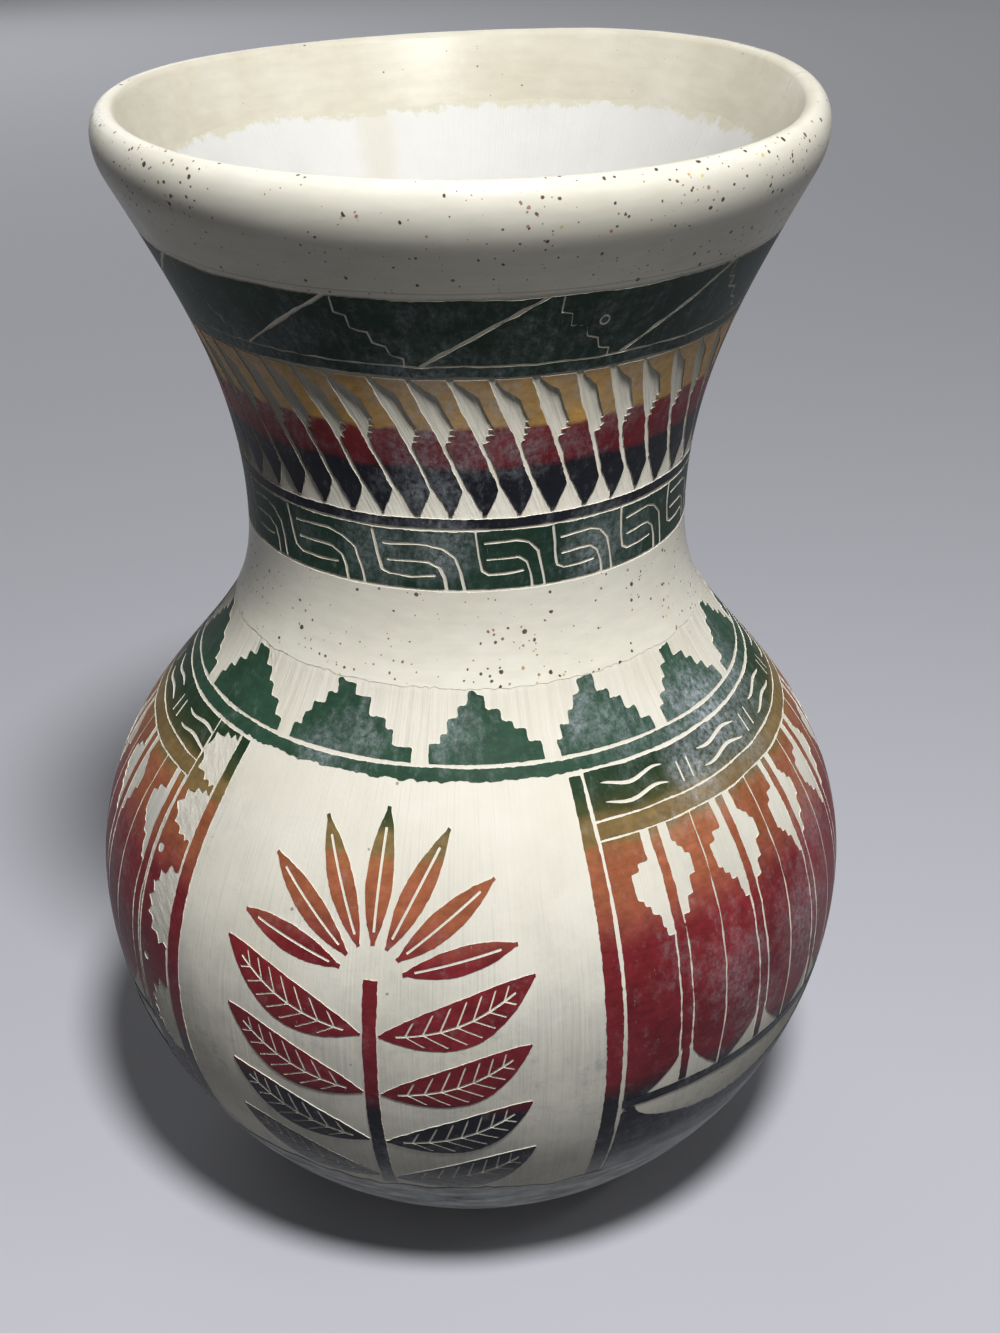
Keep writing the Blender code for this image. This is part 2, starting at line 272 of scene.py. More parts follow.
def zero_lines(level):
    """Points where a raster crosses zero, and the pairs of points that are joined."""
    inside = level > 0
    flat = inside[:, :-1] != inside[:, 1:]
    tall = inside[:-1] != inside[1:]
    flat_number = np.full(flat.shape, -1)
    flat_number[flat] = np.arange(flat.sum())
    tall_number = np.full(tall.shape, -1)
    tall_number[tall] = flat.sum() + np.arange(tall.sum())
    i, j = np.nonzero(flat)
    share = level[i, j] / (level[i, j] - level[i, j + 1])
    points = [np.stack([j + share, i], -1)]
    i, j = np.nonzero(tall)
    share = level[i, j] / (level[i, j] - level[i + 1, j])
    points.append(np.stack([j, i + share], -1))
    sides = np.stack([flat_number[:-1], tall_number[:, 1:], flat_number[1:], tall_number[:, :-1]])
    count = (sides >= 0).sum(0)
    links = [np.sort(sides[:, count == 2], axis=0)[2:].T]
    saddle = count == 4
    corner = inside[:-1, :-1][saddle]
    middle = (level[:-1, :-1] + level[1:, :-1] + level[:-1, 1:] + level[1:, 1:])[saddle] > 0
    below, right, above, left = sides[:, saddle]
    same = corner == middle
    links.append(np.stack([below, np.where(same, right, left)], -1))
    links.append(np.stack([above, np.where(same, left, right)], -1))
    return np.concatenate(points), np.concatenate(links)


def chains(count, links):
    """Runs of joined points, each closed run ending on the point that it starts from."""
    near = [[] for _ in range(count)]
    for a, b in links.tolist():
        near[a].append(b)
        near[b].append(a)
    ends = [i for i in range(count) if len(near[i]) == 1]
    used = [False] * count
    runs = []
    for start in ends + list(range(count)):
        if used[start] or not near[start]:
            continue
        run = [start]
        used[start] = True
        while True:
            ahead = [i for i in near[run[-1]] if not used[i]]
            if not ahead:
                break
            run.append(ahead[0])
            used[ahead[0]] = True
        if len(run) > 2 and start in near[run[-1]]:
            run.append(start)
        runs.append(run)
    return runs


def thinned(line, slack):
    """Places of the points that a line needs to stay within a slack of its course."""
    keep = np.zeros(len(line), bool)
    keep[[0, -1]] = True
    stack = [(0, len(line) - 1)]
    if np.allclose(line[0], line[-1]):
        far = int(np.argmax(np.hypot(*(line - line[0]).T)))
        keep[far] = True
        stack = [(0, far), (far, len(line) - 1)]
    while stack:
        first, last = stack.pop()
        if last - first < 2:
            continue
        run = line[last] - line[first]
        gap = line[first + 1:last] - line[first]
        off = np.abs(run[0] * gap[:, 1] - run[1] * gap[:, 0]) / max(math.hypot(*run), 1e-9)
        worst = int(np.argmax(off))
        if off[worst] > slack:
            middle = first + 1 + worst
            keep[middle] = True
            stack += [(first, middle), (middle, last)]
    return np.nonzero(keep)[0]


def outlines(level, cell, slack, longest):
    """Outline points and edges of the positive part of a raster, in millimetres."""
    points, links = zero_lines(level)
    places, edges = [], []
    for run in chains(len(points), links):
        line = points[run] * cell
        closed = run[0] == run[-1]
        if closed and len(run) < 8:
            continue
        line = line[thinned(line, slack)]
        full = [line[0]]
        for a, b in zip(line, line[1:]):
            steps = max(1, math.ceil(math.hypot(*(b - a)) / longest))
            full += [a + (b - a) * k / steps for k in range(1, steps + 1)]
        first = len(places)
        if closed:
            full.pop()
        places += full
        count = len(full)
        edges += [(first + i, first + i + 1) for i in range(count - 1)]
        if closed:
            edges.append((first + count - 1, first))
    return places, edges


def sampled(level, cell, points):
    """Raster values at points, from the four cells round each."""
    x = np.clip(points[:, 0] / cell, 0, level.shape[1] - 1.001)
    y = np.clip(points[:, 1] / cell, 0, level.shape[0] - 1.001)
    j = x.astype(int)
    i = y.astype(int)
    s = x - j
    t = y - i
    low = level[i, j] * (1 - s) + level[i, j + 1] * s
    high = level[i + 1, j] * (1 - s) + level[i + 1, j + 1] * s
    return low * (1 - t) + high * t


def etched(name, nodes, finish, angles, heights, field, cell=CELL, bare=True):
    """Coat over part of the surface, cut out where its field is negative, as one closed solid."""
    scale = float(degree((heights[0] + heights[1]) / 2))
    whole = angles[1] - angles[0] >= 360
    across = max(2, round((angles[1] - angles[0]) * scale / cell))
    up = max(2, round((heights[1] - heights[0]) / cell))
    grid_angle = np.linspace(*angles, across + 1)
    grid_height = np.linspace(*heights, up + 1)
    level = field(*np.meshgrid(grid_angle, grid_height))
    if not whole:
        level[:, [0, -1]] = -1
    level[[0, -1]] = -1
    places, edges = outlines(level, cell, OUTLINE_SLACK, OUTLINE_STEP)
    size = np.array([across, up]) * cell
    rows = np.arange(LATTICE, size[1], LATTICE * 0.87)
    lattice = [(x + (k % 2) * LATTICE / 2, y) for k, y in enumerate(rows)
               for x in np.arange(LATTICE / 4, size[0] - LATTICE / 2, LATTICE)]
    lattice = np.array(lattice).reshape(-1, 2)
    if len(lattice):
        lattice = lattice[sampled(level, cell, lattice) > EDGE_ROOM]
    rim = [(x, y) for y in np.append(0, np.append(rows, size[1])) for x in (0, size[0])]
    flat = [Vector(point) for group in (places, lattice, rim) for point in group]
    found = delaunay_2d_cdt(flat, edges, [], 0, 1e-6, False)
    spots = np.array([(p.x, p.y) for p in found[0]])
    triangles = np.array(found[2])
    corners = spots[triangles]
    inside = sampled(level, cell, corners.mean(1)) > 0
    for share in np.linspace(0.05, 0.95, 19):
        for k in range(3):
            crossing = corners[:, k] * share + corners[:, k - 1] * (1 - share)
            inside &= sampled(level, cell, crossing) > -0.05
    triangles = triangles[inside]
    used, triangles = np.unique(triangles, return_inverse=True)
    triangles = triangles.reshape(-1, 3)
    spots = spots[used]
    angle = angles[0] + spots[:, 0] / size[0] * (angles[1] - angles[0])
    height = heights[0] + spots[:, 1] / size[1] * (heights[1] - heights[0])
    return coat(name, nodes, finish, angle, height, triangles, bare)


def coat(name, nodes, finish, angle, height, triangles, bare):
    """Closed solid from triangles given by angle and height, with its cut sides of bare clay or not."""
    top = around(angle, *sunk(height, 0))
    keys = np.round(top / 2e-7).astype(np.int64)
    first, same = np.unique(keys, axis=0, return_index=True, return_inverse=True)[1:]
    same = same.reshape(-1)
    triangles = same[triangles]
    angle, height, top = angle[first], height[first], top[first]
    triangles = triangles[(triangles != np.roll(triangles, 1, axis=1)).all(1)]
    outward = facing(angle, height)
    a, b, c = (top[triangles[:, k]] for k in range(3))
    wrong = (np.cross(b - a, c - a) * outward[triangles[:, 0]]).sum(1) < 0
    triangles[wrong] = triangles[wrong][:, ::-1]
    bottom = around(angle, *sunk(height, SUNK + EMBED))
    count = len(top)
    sides = np.concatenate([triangles[:, [0, 1]], triangles[:, [1, 2]], triangles[:, [2, 0]]])
    codes = sides[:, 0] * count + sides[:, 1]
    free = sides[~np.isin(codes, sides[:, 1] * count + sides[:, 0])]
    walls = np.stack([free[:, 1], free[:, 0], free[:, 0] + count, free[:, 1] + count], -1)
    faces = triangles.tolist() + (triangles[:, ::-1] + count).tolist() + walls.tolist()
    mesh = bpy.data.meshes.new(name)
    mesh.from_pydata(np.concatenate([top, bottom]).tolist(), [], faces)
    p, q, r = top[walls[:, 0]], top[walls[:, 1]], bottom[walls[:, 2] - count]
    square = np.cross(q - p, r - p)
    square /= np.maximum(np.linalg.norm(square, axis=1), 1e-12)[:, None]
    normals = [outward[triangles].reshape(-1, 3), -outward[triangles[:, ::-1]].reshape(-1, 3),
               np.repeat(square, 4, axis=0)]
    mesh.normals_split_custom_set(np.concatenate(normals).tolist())
    set_values(mesh, "haze_and_sheen", np.tile(haze_and_sheen(angle, height), 2))
    paint = np.zeros(len(faces), np.int32)
    paint[-len(walls):] = int(bare)
    mesh.polygons.foreach_set("material_index", paint)
    item = add_piece(name, nodes, finish, mesh)
    mesh.materials.append(CLAY)
    return item


# Where the slip is rubbed chalky, and where a pale painted sheen lies on the shoulder's right: angle,
# height, reach and strength
HAZE_AND_SHEEN_SPOTS = [(-8, 163, 10, 0.4), (12, 161, 7, 0.5), (26, 164, 8, 0.4), (-30, 95.5, 4, 0.9),
              (-30, 161, 6, 0.5), (48, 161, 6, 0.3), (-8, 151, 9, 1.3), (6, 151, 6, 1.2),
              (-28, 152, 5, 0.9), (20, 152, 5, 0.9), (34, 151, 6, 1.2), (-44, 151, 8, 1.3),
              (-56, 150, 7, 1.3), (50, 151, 6, 1.0), (2, 144, 5, 0.9), (12, 143, 4, 0.9),
              (-14, 143, 4, 0.7), (-9, 137, 6, 0.9), (24, 143, 4, 0.5), (-22, 126, 6, 0.9),
              (-6, 127, 5, 1.2), (33, 125, 6, 1.2), (46, 125, 4, 0.6), (-44, 126, 4, 0.5),
              (-23, 99, 5, 0.6), (-4, 101, 5, 0.8), (24, 101, 5, 0.9), (32, 98, 5, 0.7),
              # (54, 95), (60, 91) and (44, 90) are not haze: they lay a pale painted sheen, a highlight, on
              # the shoulder's right
              (46, 98, 6, 1.0), (54, 95, 6, 1.9), (60, 91, 6, 1.2), (44, 90, 5, 1.6), (34, 86, 5, 0.4),
              (68, 96, 7, 1.2), (40, 62, 8, 0.7), (58, 60, 10, 1.0), (30, 68, 5, 0.4),
              (66, 74, 9, 0.7), (45, 52, 6, 0.8), (-72, 66, 9, 0.6), (-62, 58, 7, 0.5),
              (40, 33, 11, 1.0), (25, 30, 7, 0.6), (60, 30, 10, 1.0), (-10, 17, 16, 1.2),
              (-35, 20, 12, 1.2), (12, 19, 12, 1.1), (32, 22, 10, 1.0), (-14, 33, 6, 0.5)]
HAZE_LEAST = 0.03


def haze_and_sheen(angle, height):
    """Share of chalky haze over the surface, and of a painted sheen near angle 50 on the shoulder."""
    share = HAZE_LEAST + 0 * angle
    for spot_angle, spot_height, reach, strength in HAZE_AND_SHEEN_SPOTS:
        gap = np.hypot(wrap(angle - spot_angle) * degree(spot_height), height - spot_height)
        share = np.maximum(share, strength * np.exp(-(gap / reach) ** 2))
    rear = np.clip(np.abs(wrap(angle)) / 40 - 1.9, 0, 1)
    return np.maximum(share, rear * (0.4 + 0.45 * grain(angle, height, 14, 21)))


def put(name, data):
    """New object in the scene."""
    item = bpy.data.objects.new(name, data)
    bpy.context.scene.collection.objects.link(item)
    return item


def add_piece(name, nodes, finish, mesh):
    """Put a mesh in the scene in place of its CAD nodes."""
    item = put(name, mesh)
    mesh.materials.append(finish)
    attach(item, "root")
    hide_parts(*nodes)
    return item


# Shader wiring


class Nodes:
    """Short calls for the nodes that feed the main shader of a material or world."""

    def __init__(self, owner, main):
        owner.use_nodes = True
        self.owner = owner
        self.tree = owner.node_tree
        self.main = self.tree.nodes[main]

    def node(self, kind, values=None, **settings):
        """New node with its inputs and settings, as its outputs."""
        made = self.tree.nodes.new(kind)
        for key, value in settings.items():
            setattr(made, key, value)
        for socket, value in (values or {}).items():
            self.feed(made.inputs[socket], value)
        return made.outputs

    def feed(self, socket, value):
        """Link another node to a socket, or set its constant."""
        if isinstance(value, bpy.types.NodeSocket):
            self.tree.links.new(value, socket)
        elif socket.type == "RGBA" and len(value) == 3:
            socket.default_value = (*value, 1)
        else:
            socket.default_value = value

    def math(self, operation, a, b, c=0.0):
        return self.node("ShaderNodeMath", {0: a, 1: b, 2: c}, operation=operation)[0]

    def times(self, a, b):
        return self.math("MULTIPLY", a, b)

    def span(self, value, low, high, start=0.0, end=1.0):
        """Bring a value from one range to another, and stop at its ends."""
        return self.node("ShaderNodeMapRange", {0: value, 1: low, 2: high, 3: start, 4: end})[0]

    def mix(self, share, a, b, blend="MIX"):
        return self.node("ShaderNodeMix", {0: share, 6: a, 7: b}, data_type="RGBA", blend_type=blend)[2]

    def seen(self):
        """One for what the camera, gloss and glass show, and nothing for light on its way."""
        path = self.node("ShaderNodeLightPath")
        seen = self.math("MAXIMUM", path["Is Camera Ray"], path["Is Glossy Ray"])
        return self.math("MAXIMUM", seen, path["Is Transmission Ray"])

    def finish(self, **inputs):
        """Feed the main shader."""
        for key, value in inputs.items():
            self.feed(self.main.inputs[key.replace("_", " ")], value)
        return self.owner


class Surface(Nodes):
    """Material whose colour and relief are built up step by step."""

    def __init__(self, name):
        super().__init__(bpy.data.materials.new(name), "Principled BSDF")
        self.place = self.node("ShaderNodeTexCoord")["Object"]
        parts = self.node("ShaderNodeSeparateXYZ", {0: self.place})
        self.x, self.y, self.z = parts[0], parts[1], parts[2]
        self.colour = self.relief = None

    def tint(self, mask, strength, colour):
        """Lay a colour over what is there, by a mask."""
        self.colour = self.mix(self.times(mask, strength), self.colour, colour)

    def shade(self, tone):
        """Make the colour lighter or darker by a factor."""
        grey = self.node("ShaderNodeCombineColor", {0: tone, 1: tone, 2: tone})[0]
        self.colour = self.mix(1.0, self.colour, grey, "MULTIPLY")

    def dent(self, height, strength, depth):
        """Add to the relief, at most a depth in millimetres."""
        values = {"Height": height, "Strength": strength, "Distance": depth * MM}
        if self.relief:
            values["Normal"] = self.relief
        self.relief = self.node("ShaderNodeBump", values)[0]

    def noise(self, scale, detail=2.0, roughness=0.5, place=None):
        values = {"Vector": place or self.place, "Scale": scale, "Detail": detail, "Roughness": roughness}
        return self.node("ShaderNodeTexNoise", values)[0]

    def value(self, name):
        """Number that the points of the mesh carry."""
        return self.node("ShaderNodeAttribute", attribute_name=name)["Fac"]

    def zone(self, low, high, edge=1.0):
        """One between two heights in millimetres, and nothing beyond their soft edges."""
        rise = self.span(self.z, (low - edge) * MM, (low + edge) * MM)
        return self.times(rise, self.span(self.z, (high + edge) * MM, (high - edge) * MM))

    def turn(self):
        """Angle round the vase in radians from the front."""
        return self.math("ARCTAN2", self.x, self.times(self.y, -1.0))

    def sector(self, low, high):
        """One between two angles in degrees."""
        rise = self.span(self.turn(), math.radians(low - 0.4), math.radians(low + 0.4))
        fall = self.span(self.turn(), math.radians(high + 0.4), math.radians(high - 0.4))
        return self.times(rise, fall)

    def stretched(self, across, up, lean=0.0):
        """Surface coordinates with their own scale round the vase and up it, and a lean to the right."""
        turn = self.math("MULTIPLY_ADD", self.z, lean, self.turn())
        values = {0: self.times(turn, across), 1: self.times(self.z, up)}
        return self.node("ShaderNodeCombineXYZ", values)[0]

    def ramp(self, value, stops):
        """Colour by height from a list of heights in millimetres and colours."""
        low, high = stops[0][0], stops[-1][0]
        ramp = self.tree.nodes.new("ShaderNodeValToRGB")
        while len(ramp.color_ramp.elements) < len(stops):
            ramp.color_ramp.elements.new(0.5)
        for element, (height, colour) in zip(ramp.color_ramp.elements, stops):
            element.position = (height - low) / (high - low)
            element.color = (*colour, 1)
        self.feed(ramp.inputs[0], self.span(value, low * MM, high * MM))
        return ramp.outputs[0]

    def done(self, rough, specular):
        """Set the colour and relief, with a roughness and a specular level."""
        return self.finish(Base_Color=self.colour, Normal=self.relief, Roughness=rough,
                           Specular_IOR_Level=specular)


# Colours

GREEN = (0.028, 0.068, 0.042)
DARK_GREEN = (0.017, 0.040, 0.027)
# Painted shadow of the lip on the neck band, not the slip's own colour
LIP_SHADOW_GREEN = (0.012, 0.03, 0.02)
OLIVE = (0.055, 0.06, 0.022)
MOSS = (0.021, 0.044, 0.022)
OCHRE = (0.64, 0.37, 0.10)
DULL_OCHRE = (0.48, 0.30, 0.12)
AMBER = (0.20, 0.135, 0.053)
YOLK = (0.30, 0.118, 0.05)
ORANGE = (0.31, 0.10, 0.048)
BRICK = (0.26, 0.062, 0.045)
CRIMSON = (0.24, 0.03, 0.03)
RED = (0.19, 0.022, 0.027)
WINE = (0.15, 0.019, 0.026)
NAVY = (0.014, 0.015, 0.021)
SMOKE = (0.35, 0.355, 0.35)
MIST = (0.41, 0.415, 0.405)
PALE_SMOKE = (0.45, 0.455, 0.44)
# Pale blue-white of the chalky haze, also laid as a painted sheen
CHALK_AND_SHEEN = (0.52, 0.56, 0.60)
NICK = (0.62, 0.63, 0.6)
BISQUE = (0.755, 0.725, 0.64), (0.70, 0.665, 0.56)
# Whiter, darker copy of the bisque for the bare clay inside; its darkness is painted shade
BISQUE_INSIDE_SHADE = (0.645, 0.635, 0.615), (0.61, 0.60, 0.575)
GROOVE = (0.46, 0.44, 0.38)
HAIRLINE = (0.40, 0.38, 0.34)
DUST = (0.38, 0.39, 0.37)
SMUDGE = (0.30, 0.31, 0.30)
PIT = (0.2, 0.17, 0.14)
# Painted shade of the carved strokes, not a colour of the clay
PAINTED_CARVE_SHADE = (0.40, 0.35, 0.27)
CREAM_INSIDE = (0.565, 0.54, 0.43)
GLAZE_POOL = (0.55, 0.515, 0.415)
SEAM_SHADE_LINE = (0.25, 0.22, 0.17)
LIP_CREAM = (0.69, 0.665, 0.585), (0.645, 0.62, 0.52)
COLLAR_CREAM = (0.79, 0.762, 0.67), (0.74, 0.71, 0.595)

# Specks of the glaze: cells to a metre, size in cells and two colours
SPECKS = [(560, 0.25, (0.02, 0.018, 0.015), (0.09, 0.05, 0.03)),
          (950, 0.27, (0.10, 0.05, 0.04), (0.42, 0.20, 0.14)),
          (480, 0.15, (0.55, 0.44, 0.12), (0.48, 0.24, 0.18))]

# Colours of the slips by height
FRIEZE_STOPS = [(14, SMOKE), (24, SMOKE), (33, NAVY), (45.5, NAVY), (49.5, WINE), (58, WINE), (68, RED),
                (72, RED), (75, BRICK), (79, ORANGE), (82.6, ORANGE), (84.8, YOLK), (85.8, AMBER),
                (87.9, AMBER), (89.3, OLIVE), (92, MOSS), (96, MOSS)]
BASE_STOPS = [(14, PALE_SMOKE), (24, MIST), (33, NAVY), (45.5, NAVY)]
FEATHER_STOPS = [(130, NAVY), (139.9, NAVY), (140.9, WINE), (143, RED), (146.4, CRIMSON), (147.2, OCHRE),
                 (152, OCHRE), (155, DULL_OCHRE)]
GREEN_STOPS = [(90, GREEN), (110, GREEN)]
# Painted shadow: above 150 the neck band is darkened to the shadow that the lip casts on it
DARK_STOPS = [(118, DARK_GREEN), (140, DARK_GREEN), (150, LIP_SHADOW_GREEN), (170, LIP_SHADOW_GREEN)]


def slip(name, stops, chalk_and_sheen_strength, across=14, up=1400, streak=0.11):
    """Satin coloured slip with soft brush marks, a chalky haze where it is rubbed, and a pale painted sheen
    where the spots hold one.
    """
    s = Surface(name)
    drift = s.math("MULTIPLY_ADD", s.noise(120, 4, 0.6), 3.0 * MM, -1.5 * MM)
    s.colour = s.ramp(s.math("ADD", s.z, drift), stops)
    tone = s.times(s.span(s.noise(60, 4, 0.6), 0.3, 0.7, 0.8, 1.2),
                   s.span(s.noise(420, 5, 0.7), 0.3, 0.7, 0.75, 1.25))
    brush = s.noise(1.0, 4, 0.6, s.stretched(across, up))
    s.shade(s.times(tone, s.span(brush, 0.3, 0.7, 1 - streak, 1 + streak)))
    cloud = s.math("ADD", s.noise(300, 6, 0.75), s.noise(1.0, 5, 0.7, s.stretched(26, 300)))
    cover = s.math("MULTIPLY_ADD", s.value("haze_and_sheen"), 0.32, s.times(cloud, 0.5))
    dust = s.span(s.noise(1100, 4, 0.75), 0.36, 0.62, 0.1, 1.0)
    wiped = s.span(s.noise(1.0, 4, 0.7, s.stretched(60, 420)), 0.35, 0.7, 0.5, 1.0)
    chalk_and_sheen = s.times(s.span(cover, 0.54, 0.99, 0.0, 1.5), s.times(dust, wiped))
    # Painted sheen as well as chalk: the pale tint also draws a highlight where the spots hold one
    s.tint(chalk_and_sheen, chalk_and_sheen_strength, CHALK_AND_SHEEN)
    nick = s.span(s.noise(1.0, 3, 0.7, s.stretched(130, 420)), 0.69, 0.73)
    s.tint(nick, 0.3, NICK)
    s.dent(s.noise(900, 4, 0.6), 0.2, 0.15)
    s.dent(s.noise(160, 3, 0.5), 0.2, 0.4)
    return s.done(s.math("MULTIPLY_ADD", chalk_and_sheen, 0.4 * chalk_and_sheen_strength, 0.42), 0.08)


def clay():
    """Off-white bisque, scratched up and down, cut by the etching tool and greyed by rubbed-in dust, with
    painted shade in its carved strokes and a darker copy inside.
    """
    s = Surface("bisque")
    inner = s.value("inner")
    outer = s.math("SUBTRACT", 1.0, inner)
    lines = s.noise(1.0, 4, 0.65, s.stretched(170, 45))
    fine = s.noise(1.0, 3, 0.65, s.stretched(430, 60))
    s.colour = s.mix(s.span(s.noise(60, 4, 0.6), 0.35, 0.7), *BISQUE)
    patch = s.span(s.noise(70, 4, 0.6), 0.36, 0.62)
    s.tint(s.times(s.span(lines, 0.53, 0.66), patch), 0.25, GROOVE)
    patch = s.span(s.noise(110, 3, 0.6), 0.35, 0.65)
    s.tint(s.times(s.span(fine, 0.56, 0.70), patch), 0.28, HAIRLINE)
    left = s.times(s.span(s.turn(), math.radians(-33), math.radians(-47)), s.zone(30, 90, 4))
    down = s.math("MAXIMUM", s.span(s.z, 92 * MM, 62 * MM, 0.0, 0.6), s.times(left, 0.65))
    smear = s.times(s.span(s.noise(55, 8, 0.75), 0.42, 0.58), s.span(lines, 0.35, 0.6, 0.4, 1.0))
    s.tint(s.times(down, smear), 0.8, DUST)
    patch = s.span(s.noise(30, 3, 0.6), 0.45, 0.6)
    smudge = s.times(s.span(s.noise(210, 6, 0.75), 0.55, 0.66), patch)
    s.tint(s.times(smudge, down), 0.8, SMUDGE)
    cells = s.node("ShaderNodeTexVoronoi", {"Vector": s.place, "Scale": 170.0})
    pit = s.math("ADD", cells["Distance"], s.times(s.noise(1500, 2), 0.05))
    s.tint(s.span(pit, 0.06, 0.08, 1.0, 0.0), 0.75, PIT)
    s.dent(lines, 0.4, 0.25)
    s.dent(s.times(s.span(s.z, SCOOPED[0] * MM, SCOOPED[1] * MM, 1.0, 0.0), outer), 1.0, 13)
    # Painted shade: in the feather band, the terraces' ground and by the zigzag, the carved strokes are
    # darkened as shade in their hollows, on top of their bump
    for zone, course, depth in ((s.zone(132, 155), s.stretched(75, 90, 11.0), 0.38),
                                (s.zone(96, 106), s.stretched(34, 50), 0.2),
                                (s.sector(-58, -49), s.stretched(30, 420, 18.0), 0.25)):
        zone = s.times(zone, outer)
        carved = s.noise(1.0, 4, 0.6, course)
        s.tint(s.times(zone, s.span(carved, 0.36, 0.56, 1.0, 0.0)), depth, PAINTED_CARVE_SHADE)
        s.dent(s.times(carved, zone), 0.8, 1.2 * depth)
    # Painted shade: the bare clay inside the mouth takes a darker copy of the bisque
    white = s.mix(s.span(s.noise(90, 3, 0.6), 0.35, 0.7), *BISQUE_INSIDE_SHADE)
    fuzz = s.math("MULTIPLY_ADD", s.noise(420, 6, 0.75), 5.6, -2.8)
    fuzz = s.math("ADD", fuzz, s.math("MULTIPLY_ADD", s.noise(150, 3, 0.6), 3.4, -1.7))
    cream = s.span(s.math("ADD", s.value("glazed"), fuzz), -0.35, 0.35)
    cream = s.math("MAXIMUM", cream, s.times(s.value("stain"), 0.5))
    s.colour = s.mix(inner, s.colour, s.mix(cream, white, CREAM_INSIDE))
    s.dent(s.noise(1300, 3, 0.6), 0.25, 0.1)
    return s.done(0.8, 0.2)


def glaze(name, creams, gloss, specular):
    """Cream glaze with dark, brown and a few yellow specks, fewer on the inside, and a painted shade line
    along the scored seam.
    """
    s = Surface(name)
    inner = s.value("inner")
    s.colour = s.mix(s.span(s.noise(50, 4, 0.6), 0.35, 0.7), *creams)
    s.tint(s.span(s.noise(75, 4, 0.6), 0.38, 0.62, 0.55, 1.0), inner, GLAZE_POOL)
    s.shade(s.span(s.noise(1.0, 4, 0.6, s.stretched(8, 700)), 0.3, 0.7, 0.94, 1.04))
    shake = s.node("ShaderNodeTexNoise", {"Vector": s.place, "Scale": 900.0, "Detail": 2.0})[1]
    shake = s.node("ShaderNodeVectorMath", {0: shake, 1: (0.5 * MM,) * 3}, operation="MULTIPLY")[0]
    wobble = s.node("ShaderNodeVectorMath", {0: s.place, 1: shake}, operation="ADD")[0]
    flock = s.span(s.noise(90, 2, 0.5), 0.35, 0.65, -0.3, 0.25)
    for scale, size, *colours in SPECKS:
        cells = s.node("ShaderNodeTexVoronoi", {"Vector": wobble, "Scale": float(scale)})
        parts = s.node("ShaderNodeSeparateColor", {0: cells["Color"]})
        chance = s.math("SUBTRACT", s.math("ADD", parts[0], flock), s.times(inner, 0.45))
        reach = s.times(s.span(chance, 0.15, 1.1), size)
        spot = s.span(s.math("SUBTRACT", reach, cells["Distance"]), 0.0, 0.04)
        s.tint(spot, 0.93, s.mix(s.span(parts[1], 0.5, 0.9), *colours))
    # Painted shade: a thin dark line at the seam height stands in for the shade in the scored groove
    seam_shade = s.math("ADD", s.z, s.times(s.noise(150, 2, 0.5), 0.3 * MM))
    seam_shade = s.math("COMPARE", seam_shade, SEAM_HEIGHT * MM, 0.09 * MM)
    s.tint(s.times(seam_shade, s.math("SUBTRACT", 1.0, inner)), 0.45, SEAM_SHADE_LINE)
    s.dent(s.noise(260, 3, 0.5), 0.06, 0.3)
    s.dent(s.times(s.noise(1.0, 3, 0.5, s.stretched(16, 300)), inner), 0.12, 0.3)
    return s.done(s.span(s.noise(120, 3, 0.5), 0.3, 0.7, gloss - 0.04, gloss + 0.08), specular)


CLAY = clay()
LIP_GLAZE = glaze("lip_glaze", LIP_CREAM, 0.3, 0.12)
COLLAR_GLAZE = glaze("collar_glaze", COLLAR_CREAM, 0.34, 0.3)
FRIEZE_SLIP = slip("frieze_slip", FRIEZE_STOPS, 0.5)
FEATHER_SLIP = slip("feather_slip", FEATHER_STOPS, 0.65)
BASE_SLIP = slip("base_slip", BASE_STOPS, 0.5, 6, 420, 0.75)
NECK_SLIP = slip("neck_slip", DARK_STOPS, 0.48)
SHOULDER_SLIP = slip("shoulder_slip", GREEN_STOPS, 0.6)


# Turned pieces


def turned_mesh(name, rings, angles):
    """Mesh from rings of radius and height that each hold one value or one for every angle."""
    count = len(angles)
    points = np.concatenate([around(angles, radius + 0 * angles, height + 0 * angles)
                             for radius, height in rings])
    here = np.arange(count)
    ahead = np.roll(here, -1)
    ring = np.stack([here, ahead, ahead + count, here + count], -1)
    faces = np.concatenate([ring + k * count for k in range(len(rings) - 1)])
    mesh = bpy.data.meshes.new(name)
    mesh.from_pydata(points.tolist(), [], faces.tolist())
    return mesh


def weld(mesh):
    """Join points that lie on each other."""
    bm = bmesh.new()
    bm.from_mesh(mesh)
    bmesh.ops.remove_doubles(bm, verts=bm.verts, dist=1e-6)
    bmesh.ops.recalc_face_normals(bm, faces=bm.faces)
    bm.to_mesh(mesh)
    bm.free()


def smooth(mesh, angle=40):
    """Shade a mesh smooth, apart from its sharp edges."""
    for face in mesh.polygons:
        face.use_smooth = True
    mesh.set_sharp_from_angle(angle=math.radians(angle))
    mesh.validate()


def lip_round(depth, steps):
    """Points over the lip from the outside to the inside, at a depth under its surface."""
    radius, slope = (float(value) for value in skin(MOUTH))
    lean = math.atan(slope)
    crest = WALL - LIP_INNER_ROUND
    points = []
    for turn in np.linspace(0, math.pi, 2 * steps + 1):
        if turn > math.pi / 2:
            across = rise = LIP_INNER_ROUND - depth
            middle = LIP_ROUND - LIP_INNER_ROUND
        else:
            across = crest - depth
            rise = LIP_ROUND - depth
            middle = 0
        into = crest - across * math.cos(turn)
        up = middle + rise * math.sin(turn)
        points.append((radius + up * math.sin(lean) - into * math.cos(lean),
                       MOUTH + up * math.cos(lean) + into * math.sin(lean)))
    return points


